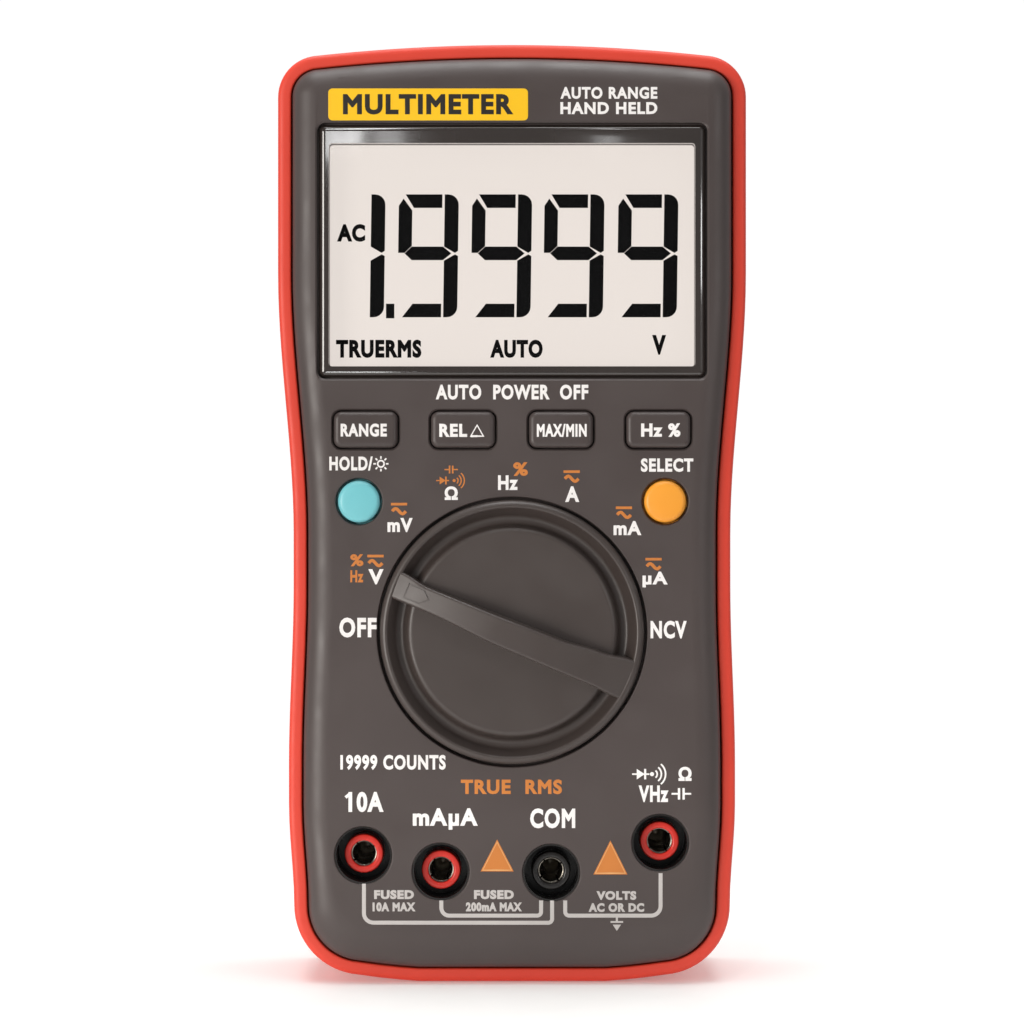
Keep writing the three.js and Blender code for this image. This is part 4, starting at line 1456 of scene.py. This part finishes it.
@dataclass
class Selector:
    """The knob: a rimmed dish with a curved bar across it that rises in the middle."""

    rest_angle: float = math.radians(157.5)
    radius: float = 25.2
    crest: float = 23.5
    back: float = 14.2
    waisted: Sequence[tuple[float, float]] = (
        (-23.4, -3.9),
        (-17, -3.0),
        (-9, -2.2),
        (8, -1.9),
        (18, -1.8),
        (23.6, -2.6),
    )
    straight: Sequence[tuple[float, float]] = (
        (-23.4, 3.9),
        (-17, 3.5),
        (0, 3.3),
        (16, 2.6),
        (23.6, 2.7),
    )
    stations: int = 40
    bar_half: float = 24.5
    bar_base: float = 15.0

    def dish(self) -> BMesh:
        """The round body with its groove and rim."""
        hub, tail = 8.0, 8.7
        profile = [
            (0, 18.0),
            (19.8, 18.0, 0.9),
            (20.7, 15.5, 1.2),
            (22.2, 15.5, 1.4),
            (23.9, 19.1, 1.0),
            (self.radius, 18.3, 1.0),
            (self.radius, self.back, 0.2),
            (hub, self.back),
            (hub, tail),
            (0, tail),
        ]
        return lathe(softened(profile, steps=5), steps=144)

    def along(self, points: Sequence[tuple[float, float]], x: float) -> float:
        """A smooth value along the bar from a few given ones."""
        after = next((i for i, p in enumerate(points) if p[0] >= x), len(points) - 1)
        after = max(after, 1)
        (x0, y0), (x1, y1) = points[after - 1], points[after]
        share = min(1.0, max(0.0, (x - x0) / (x1 - x0)))
        return y0 + (y1 - y0) * share * share * (3 - 2 * share)

    def height_at(self, x: float) -> float:
        """The level of the bar's top, an arc that meets the rim at both ends."""
        return self.crest - 4.9 * (abs(x) / 24.6) ** 1.7

    def handle(self) -> BMesh:
        """The bar: its section changes along its length, and its long edges are rounded."""
        rings = []
        for i in range(self.stations + 1):
            x = -self.bar_half + 2 * self.bar_half * i / self.stations
            low_y, high_y = self.along(self.waisted, x), self.along(self.straight, x)
            top, base = self.height_at(x), self.bar_base
            taper = (top - base) * 0.05
            section = [
                (low_y - taper, base),
                (low_y, top, 0.55),
                (high_y, top - 0.15, 0.55),
                (high_y + taper, base),
            ]
            rings.append([Vector((x, y, z)) for y, z in softened(section, steps=4)])
        return loft(rings)

    def pointer(self) -> BMesh:
        """The engraved mark near the pointing end, cut along the slope of the bar."""
        outline = [(18.4, 1.6), (21.5, 1.7), (21.5, -1.1), (18.4, -1.1), (16.9, 0.25), (18.4, 1.6)]
        edges = []
        for (x0, y0), (x1, y1) in zip(outline, outline[1:]):
            length = math.hypot(x1 - x0, y1 - y0)
            line = plate(Rect(0, 0, length + 0.2, 0.28), -0.2, 1.2)
            turned(line, math.atan2(y1 - y0, x1 - x0), (0, 0))
            bmesh.ops.translate(line, verts=line.verts, vec=((x0 + x1) / 2, (y0 + y1) / 2, 0))
            for vertex in line.verts:
                vertex.co.z += self.height_at(vertex.co.x)
            edges.append(line)
        form = edges[0]
        for edge in edges[1:]:
            form = put_together(form, [edge], Join.ADD)
        return form

    def build(self) -> None:
        """Builds the knob in its rest position."""
        handle = put_together(self.handle(), [self.pointer()], Join.CUT)
        form = put_together(self.dish(), [handle], Join.ADD)
        x, y = node_centre("selector_knob")
        bmesh.ops.rotate(form, matrix=Matrix.Rotation(self.rest_angle, 3, "Z"), verts=form.verts)
        bmesh.ops.translate(form, verts=form.verts, vec=(x, y, 0))
        finish_piece("knob", form, Finishes.knob, "selector", ["selector_knob"], 30)


# ---------------------------------------------------------------- keys


@dataclass(frozen=True)
class Key:
    """One key: its cap, its flange under the face, and its label if that is on the cap."""

    name: str
    look: Finish
    slot: str
    round_cap: bool = False
    label: Mark | None = None
    radius: float = 4.0
    gap: float = 0.4  # round a round cap
    flange: tuple[float, float] = (14.0, 15.0)
    proud: float = 0.9

    def place(self) -> tuple[float, float]:
        """The middle of the key."""
        return node_centre(f"{self.name}_button")

    def cap(self) -> Rect:
        """The outline of a rectangular cap."""
        x, y = self.place()
        return Rect(x, y, 12.2, 6.9, 1.5)

    def cap_form(self) -> BMesh:
        """The cap, eased at its edge, and slightly crowned if it is round."""
        top = FACE + self.proud
        if not self.round_cap:
            cap = plate(self.cap(), self.flange[0] + 0.5, top, 1.0, 6)
            return put_together(cap, [plate(self.cap().grown(1), *self.flange)], Join.ADD)
        r = self.radius
        profile = [
            (0, top),
            (r * 0.55, top - 0.06, 0.8),
            (r - 0.5, top - 0.22, 0.5),
            (r, top - 0.8, 0.4),
            (r, self.flange[1]),
            (r + 1, self.flange[1]),
            (r + 1, self.flange[0]),
            (0, self.flange[0]),
        ]
        return lathe(softened(profile, steps=5), self.place(), 72)

    def delta(self, level: float) -> list[BMesh]:
        """The open triangle after the word on the relative key."""
        if self.name != "relative":
            return []
        x, low = self.label.x + self.label.width / 2 + 1.9, self.label.low + 0.15
        corners = [(x - 1.2, low), (x + 1.2, low), (x, low + 2.1), (x - 1.2, low), (x, low)]
        return [stroke(corners, 0.42, level)]

    def build(self) -> None:
        """Builds the key and the print on it."""
        x, y = self.place()
        stem = plate(Rect(x, y, 4, 4, 0.4), 11.1, self.flange[0] + 0.2)
        form = put_together(self.cap_form(), [stem], Join.ADD)
        body = f"{self.name}_key"
        finish_piece(f"{self.name}_cap", form, self.look, body, [f"{self.name}_button"])
        if self.label:
            level = FACE + self.proud
            ink = gather([lettering(self.label, level, 0.045), *self.delta(level)])
            finish_piece(f"{self.name}_label", ink, Finishes.ink_white, body)


def grey_key(name: str, words: str, x: float, width: float, low: float = 104.5, tall: float = 2.5) -> Key:
    """A rectangular grey key with its label."""
    return Key(name, Finishes.key_grey, "button_grey", label=Mark(words, x, width, low, tall))


class KeyPad:
    """The row of four grey keys and the two round coloured ones."""

    keys = (
        grey_key("range", "RANGE", -28.24, 8.8, low=104.55),
        grey_key("relative", "REL", -11.2, 5.3),
        grey_key("maxmin", "MAX/MIN", 9.48, 9.5),
        grey_key("frequency", "Hz %", 28.34, 7.5, tall=2.6),
        Key("hold", Finishes.key_teal, "button_teal", True),
        Key("select", Finishes.key_amber, "button_amber", True),
    )

    def build(self) -> None:
        """Builds every key."""
        for key in self.keys:
            key.build()


# ---------------------------------------------------------------- jacks


@dataclass
class Jack:
    """An input jack: an insulating collar with a plated, split spring socket inside."""

    name: str
    look: Finish
    slot: str
    bore: float = 2.45
    seat: float = 2.95
    collar: float = 3.75
    foot: float = 5.15
    well: float = 5.45

    def build(self) -> None:
        """Builds the collar, the cup round it and the socket."""
        node = f"jack_collar_{self.name}"
        low, high = node_span(node)
        centre = node_centre(node)
        mouth, foot = high.z, low.z
        collar = [
            (self.seat, mouth - 1.0),
            (self.bore, mouth - 1.0, 0.1),
            (self.bore, mouth - 0.25, 0.15),
            (self.bore + 0.25, mouth, 0.2),
            (self.collar - 0.1, mouth, 0.4),
            (self.collar, mouth - 0.6, 0.3),
            (self.collar, foot + 1.6),
            (self.foot, foot + 1.6),
            (self.foot, foot),
            (self.seat, foot),
        ]
        form = lathe(softened(collar, steps=4), centre, 72)
        finish_piece(f"jack_{self.name}_ring", form, self.look, "housing", [node])
        self.build_liner(centre, foot)
        self.build_socket(centre)

    def build_liner(self, centre: tuple[float, float], foot: float) -> None:
        """Builds the black cup that lines the well round the collar."""
        inside = self.collar + 0.05
        profile = [
            (inside, foot + 1.65),
            (self.foot, foot + 1.65),
            (self.foot, FACE - 0.3),
            (self.well - 0.03, FACE - 0.3),
            (self.well - 0.03, foot),
            (self.foot + 0.02, foot),
            (self.foot + 0.02, foot + 1.62),
            (inside, foot + 1.62),
        ]
        form = lathe(profile, centre, 64)
        finish_piece(f"jack_{self.name}_cup", form, Finishes.jack_black, "housing")

    def build_socket(self, centre: tuple[float, float]) -> None:
        """Builds the socket, slit along four lines so that it grips the plug."""
        node = f"jack_socket_{self.name}"
        low, high = node_span(node)
        inner, outer = 2.05, 2.65
        profile = [
            (0, low.z),
            (outer, low.z),
            (outer, high.z, 0.15),
            (inner + 0.15, high.z, 0.2),
            (inner, high.z - 0.5, 0.2),
            (inner, low.z + 4.5),
            (0, low.z + 1),
        ]
        form = lathe(softened(profile, steps=3), centre, 64)
        slits = []
        for turn in (0, math.pi / 2):
            slit = plate(Rect(*centre, 2 * outer + 1, 0.35), low.z + 7, high.z + 1)
            slits.append(turned(slit, turn + math.radians(35), centre))
        for slit in slits:
            form = put_together(form, [slit], Join.CUT)
        finish_piece(
            f"jack_{self.name}_sleeve", form, Finishes.nickel, "housing", [node]
        )


class InputJacks:
    """The four jacks at the foot of the meter."""

    jacks = (
        Jack("10a", Finishes.jack_red, "jack_red"),
        Jack("ma", Finishes.jack_red, "jack_red"),
        Jack("com", Finishes.jack_black, "jack_black"),
        Jack("volts", Finishes.jack_red, "jack_red"),
    )

    def build(self) -> None:
        """Builds every jack."""
        for jack in self.jacks:
            jack.build()


# ---------------------------------------------------------------- the printed face


@dataclass
class FaceLegend:
    """Everything that is printed on the face."""

    white: Sequence[Mark] = (
        Mark("AUTO  POWER  OFF", 0.0, 29.1, 111.64, 2.87),
        Mark("AUTO RANGE", 18.48, 18.5, 169.0, 2.3),
        Mark("HAND HELD", 18.48, 18.5, 166.1, 2.3),
        Mark("SELECT", 29.59, 10.0, 97.85, 2.6),
        Mark("HOLD/", -30.7, 8.3, 98.1, 2.7),
        Mark("OFF", -29.39, 7.1, 66.26, 3.8),
        Mark("V", -25.95, 2.9, 76.4, 2.9),
        Mark("mV", -21.35, 4.8, 86.36, 2.7),
        Mark("Ω", -11.59, 2.5, 92.49, 2.6),
        Mark("Hz", -0.77, 3.8, 94.4, 2.8),
        Mark("A", 11.49, 2.7, 92.11, 3.0),
        Mark("mA", 22.02, 5.3, 85.79, 2.7),
        Mark("µA", 27.29, 4.8, 75.83, 3.0),
        Mark("NCV", 29.87, 6.9, 66.06, 3.4),
        Mark("19999 COUNTS", -22.69, 20.1, 40.98, 2.9),
        Mark("10A", -27.85, 6.7, 32.94, 3.9),
        Mark("mAµA", -12.73, 12.4, 29.6, 4.1),
        Mark("COM", 7.76, 8.6, 29.87, 3.8),
        Mark("VHz", 27.0, 5.7, 34.85, 3.2),
        Mark("Ω", 33.0, 2.5, 38.9, 2.7),
    )
    fine: Sequence[Mark] = (
        Mark("FUSED", -22.5, 7.6, 16.35, 1.75),
        Mark("10A MAX", -22.5, 8.2, 14.0, 1.75),
        Mark("FUSED", -3.45, 7.6, 16.35, 1.75),
        Mark("200mA MAX", -3.45, 10.7, 14.0, 1.75),
        Mark("VOLTS", 19.91, 7.6, 16.2, 1.7),
        Mark("AC OR DC", 19.91, 10.6, 13.9, 1.7),
    )
    orange: Sequence[Mark] = (
        Mark("TRUE  RMS", -0.1, 19.3, 36.38, 2.8),
        Mark("%", -29.59, 2.5, 79.85, 2.3),
        Mark("Hz", -29.59, 2.5, 76.79, 2.3),
        Mark("%", 1.63, 2.8, 97.09, 2.6),
    )
    triangles: Sequence[tuple[float, float, float, float]] = (
        (-2.84, 21.64, 6.3, 6.1),
        (18.77, 21.06, 6.5, 6.5),
    )
    badge: Rect = Rect(-15.99, 167.93, 38.1, 6.1, 0.8)

    def white_signs(self) -> list[BMesh]:
        """Drawn signs in white: a lamp, the flag of a figure one, a diode, a sound and a capacitor."""
        signs = [stroke(arc((-25.0, 99.4), 0.62, 0, 360, 16), 0.32, FACE)]
        for i in range(8):
            turn = math.radians(45 * i)
            ray = [(-25.0 + r * math.cos(turn), 99.4 + r * math.sin(turn)) for r in (0.95, 1.45)]
            signs.append(stroke(ray, 0.3, FACE))
        signs.append(stroke([(-30.75, 36.55), (-31.75, 35.75)], 0.6, FACE))
        signs += self.diode((24.6, 40.2), 1.0)
        signs += self.sound((28.2, 40.2), 1.0)
        signs += self.capacitor((32.3, 36.45), 1.1)
        return signs

    def diode(self, centre: tuple[float, float], size: float) -> list[BMesh]:
        """The sign of a diode."""
        x, y = centre
        arrow = [(x - 0.8 * size, y + size), (x - 0.8 * size, y - size), (x + 0.7 * size, y)]
        line = [(x - 1.7 * size, y), (x + 1.6 * size, y)]
        stop = [(x + 0.8 * size, y - size), (x + 0.8 * size, y + size)]
        return [
            prism(arrow, FACE, FACE + INK),
            stroke(line, 0.3 * size, FACE),
            stroke(stop, 0.4 * size, FACE),
        ]

    def sound(self, centre: tuple[float, float], size: float) -> list[BMesh]:
        """The sign of a continuity buzzer: a dot and three waves."""
        x, y = centre
        waves = [
            stroke(arc((x - 1.4 * size, y), r * size, -50, 50), 0.32 * size, FACE) for r in (0.9, 1.7, 2.5)
        ]
        return [dot((x - 1.5 * size, y), 0.4 * size, FACE), *waves]

    def capacitor(self, centre: tuple[float, float], size: float) -> list[BMesh]:
        """The sign of a capacitor."""
        x, y = centre
        lines = []
        for side in (-1, 1):
            near = x + side * 0.4 * size
            lines.append(stroke([(near, y - size), (near, y + size)], 0.4 * size, FACE))
            lines.append(stroke([(near, y), (x + side * 1.7 * size, y)], 0.32 * size, FACE))
        return lines

    def direct_and_alternating(self, x: float, low: float) -> list[BMesh]:
        """The sign for direct and alternating current: a bar over a wave."""
        wave = [
            (x - 1.3 + 2.6 * t / 12, low + 0.75 + 0.5 * math.sin(2 * math.pi * t / 12)) for t in range(13)
        ]
        return [
            stroke([(x - 1.55, low + 2.1), (x + 1.55, low + 2.1)], 0.5, FACE),
            stroke(wave, 0.6, FACE),
        ]

    def orange_signs(self) -> list[BMesh]:
        """Drawn signs in orange, by the positions that SELECT shifts, and two plain triangles."""
        places = [(-26.04, 79.7), (-21.54, 89.6), (11.39, 95.8), (21.35, 88.9), (27.0, 79.1)]
        signs = [form for x, low in places for form in self.direct_and_alternating(x, low)]
        signs += self.capacitor((-11.6, 98.3), 0.75)
        signs += self.diode((-13.2, 96.2), 0.75)
        signs += self.sound((-9.9, 96.2), 0.75)
        signs += [prism(self.triangle(*sizes), FACE, FACE + INK) for sizes in self.triangles]
        return signs

    def triangle(self, x: float, low: float, width: float, height: float) -> list[tuple[float, float]]:
        """The corners of an upright triangle."""
        return [(x - width / 2, low), (x + width / 2, low), (x, low + height)]

    def triangle_borders(self) -> list[BMesh]:
        """A paler line just inside the edge of each triangle."""
        borders = []
        for x, low, width, height in self.triangles:
            left, right, top = self.triangle(x, low + 0.25, width - 0.8, height - 0.75)
            middle = ((left[0] + right[0]) / 2, left[1])
            borders.append(stroke([middle, right, top, left, middle], 0.3, FACE + INK))
        return borders

    def brackets(self) -> list[BMesh]:
        """Grey lines that tie each jack to the common one, and the earth sign under the last."""
        wide = 0.75
        first = [(-28.24, 19.3), *arc((-26.44, 13.67), 1.8, 180, 270), *arc((6.9, 12.6), 0.75, 270, 360)]
        second = [(-13.48, 16.1), *arc((-11.98, 14.71), 1.5, 180, 270), *arc((4.8, 13.96), 0.75, 270, 360)]
        third = [(10.15, 16.1), *arc((10.9, 13.96), 0.75, 180, 270), *arc((26.54, 15.01), 1.8, 270, 360)]
        lines = [
            stroke([*first, (7.65, 16.1)], wide, FACE),
            stroke([*second, (5.55, 16.1)], wide, FACE),
            stroke([*third, (28.34, 21.3)], wide, FACE),
            stroke([(20.0, 13.2), (20.0, 12.0)], 0.4, FACE),
            stroke([(18.8, 12.0), (21.2, 12.0)], 0.35, FACE),
            prism([(19.2, 11.5), (20.8, 11.5), (20.0, 10.3)], FACE, FACE + INK),
        ]
        return lines

    def build(self) -> None:
        """Prints the face and sticks the badge on it."""
        white = [lettering(mark, FACE) for mark in self.white] + self.white_signs()
        fine = [lettering(mark, FACE, 0.06) for mark in self.fine]
        orange = [lettering(mark, FACE) for mark in self.orange] + self.orange_signs()
        prints = (
            ("legend_white", white, Finishes.ink_white),
            ("legend_fine", fine, Finishes.ink_grey),
            ("legend_orange", orange, Finishes.ink_orange),
            ("legend_borders", self.triangle_borders(), Finishes.ink_pale_orange),
            ("legend_brackets", self.brackets(), Finishes.ink_grey),
        )
        for name, forms, look in prints:
            finish_piece(name, gather(forms), look, "housing")
        label = plate(self.badge, FACE, FACE + 0.12, 0.05, 2)
        finish_piece("badge", label, Finishes.label, "housing")
        words = lettering(Mark("MULTIMETER", self.badge.x, 32.5, 166.0, 3.9), FACE + 0.12, 0.045)
        finish_piece("badge_words", words, Finishes.ink_black, "housing")


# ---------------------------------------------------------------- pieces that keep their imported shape


class KeptNodes:
    """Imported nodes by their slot's finish, for the inner pieces that no new piece stands for."""

    def __init__(self, nodes: dict[str, bpy.types.Object]) -> None:
        """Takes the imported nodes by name."""
        self.nodes = nodes

    def build(self) -> None:
        """Dresses every node whose slot has a finish, also those that a new piece hides."""
        for name, node in self.nodes.items():
            look = KEPT_FINISHES.get(node.material_slots[0].material.name)
            if look is None:
                continue
            node.material_slots[0].material = look.make()
            LOG.info("%s keeps its shape, in %s", name, look.name)


# ---------------------------------------------------------------- studio


@dataclass
class Studio:
    """Camera, soft lights, and a plain pale floor."""

    distance: float = 0.65
    view_height: float = 0.0902
    frame_height: float = 0.1961  # what the frame takes in at the sharp plane
    sharp_plane: float = 0.015
    floor_radius: float = 170.0  # millimetres

    def camera(self) -> None:
        """A camera square to the front of the meter."""
        data = bpy.data.cameras.new("camera")
        data.sensor_width = 36
        data.lens = (self.distance - self.sharp_plane) * data.sensor_width / self.frame_height
        camera = bpy.data.objects.new("camera", data)
        camera.location = (0, -self.distance, self.view_height)
        camera.rotation_euler = (math.pi / 2, 0, 0)
        bpy.context.scene.collection.objects.link(camera)
        bpy.context.scene.camera = camera

    def softbox(
        self,
        name: str,
        place: tuple[float, float, float],
        size: tuple[float, float],
        power: float,
        tint: str = "#ffffff",
    ) -> None:
        """A rectangular area light, size wide and high, that points at the middle of the meter."""
        data = bpy.data.lights.new(name, "AREA")
        data.shape = "RECTANGLE"
        data.size, data.size_y = size
        data.energy = power
        data.color = linear(tint)[:3]
        light = bpy.data.objects.new(name, data)
        light.location = place
        aim = Vector((0, 0, self.view_height)) - Vector(place)
        light.rotation_euler = aim.to_track_quat("-Z", "Y").to_euler()
        bpy.context.scene.collection.objects.link(light)

    def surroundings(self) -> None:
        """White behind the meter, and a greyer room on the user's side."""
        world = bpy.data.worlds.new("room")
        world.use_nodes = True
        tree = world.node_tree
        tree.nodes.clear()
        place = add_node(tree, "ShaderNodeTexCoord")
        axes = add_node(tree, "ShaderNodeSeparateXYZ", links={"Vector": place.outputs["Generated"]})
        level = add_node(
            tree,
            "ShaderNodeMapRange",
            values={"From Min": -0.3, "From Max": 0.6, "To Min": 0.27, "To Max": 0.75},
            links={"Value": axes.outputs["Y"]},
        )
        seen = add_node(tree, "ShaderNodeLightPath")
        strength = add_node(
            tree,
            "ShaderNodeMix",
            values={3: 1.02},
            links={0: seen.outputs["Is Camera Ray"], 2: level.outputs["Result"]},
        )
        glow = add_node(
            tree,
            "ShaderNodeBackground",
            values={"Color": (1, 1, 1, 1)},
            links={"Strength": strength.outputs[0]},
        )
        add_node(tree, "ShaderNodeOutputWorld", links={"Surface": glow.outputs["Background"]})
        bpy.context.scene.world = world

    def floor(self) -> None:
        """A pale round table top, just under the meter."""
        edge = self.floor_radius
        form = lathe(softened([(0, -6.0), (edge, -6.0), (edge, 0), (0, 0)], 2.0), steps=96)
        bmesh.ops.scale(form, vec=(0.001, 0.001, 0.001), verts=form.verts)
        bmesh.ops.translate(form, verts=form.verts, vec=(0, 0, -0.0002))
        mesh = bpy.data.meshes.new("table_top")
        form.to_mesh(mesh)
        form.free()
        table = bpy.data.objects.new("table_top", mesh)
        look = Finish(
            "board_painted_white", "#f6f5f3", "#f3f2f0", 0.6, grain_mm=1.5, grain_depth_mm=0.003, glow=0.22
        )
        mesh.materials.append(look.make())
        bpy.context.scene.collection.objects.link(table)

    def build(self) -> None:
        """Sets up the studio."""
        bpy.context.scene.view_settings.view_transform = "Standard"
        self.camera()
        self.surroundings()
        self.floor()
        self.softbox("key_light", (-0.72, -0.76, 0.06), (0.45, 0.45), 7.6, "#fffaf4")
        self.softbox("fill_light", (0.7, -0.7, 0.35), (0.6, 0.6), 0.3)
        self.softbox("top_light", (0.0, -0.05, 0.9), (0.6, 0.6), 5.5)
        # Narrow strips that draw the bright streaks along the glossy edge of the display.
        self.softbox("upper_strip", (-0.06, -0.5, 0.62), (0.025, 0.25), 0.3)
        self.softbox("upper_small_strip", (0.037, -0.5, 0.62), (0.01, 0.2), 0.05)
        self.softbox("lower_strip", (-0.062, -0.6, -0.15), (0.03, 0.1), 0.18)
        self.softbox("side_strip", (0.45, -0.45, 0.19), (0.2, 0.035), 0.25)
        # Small bright panes whose mirror images lie on the flat of the display's mask.
        for middle, width, power in ((-0.073, 0.018, 0.014), (-0.052, 0.012, 0.004), (0.0405, 0.011, 0.003)):
            self.softbox(f"pane_{round(middle * 1000)}", (middle, -0.8, 0.2512), (width, 0.02), power)


def main() -> None:
    """Builds the whole scene."""
    logging.basicConfig(level=logging.INFO, format="%(name)s: %(message)s")
    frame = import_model()
    Studio().build()
    KeptNodes(frame["nodes"]).build()
    RubberBoot().build()
    FrontCase().build()
    RearCase().build()
    BatteryDoor().build()
    TiltStand().build()
    for corner in Shell().screws:
        CrossHeadScrew(f"case_screw_{corner}", "housing").build()
    CrossHeadScrew("battery_door_screw", "door").build()
    Display().build()
    Selector().build()
    KeyPad().build()
    InputJacks().build()
    FaceLegend().build()


if __name__ == "__main__":
    main()
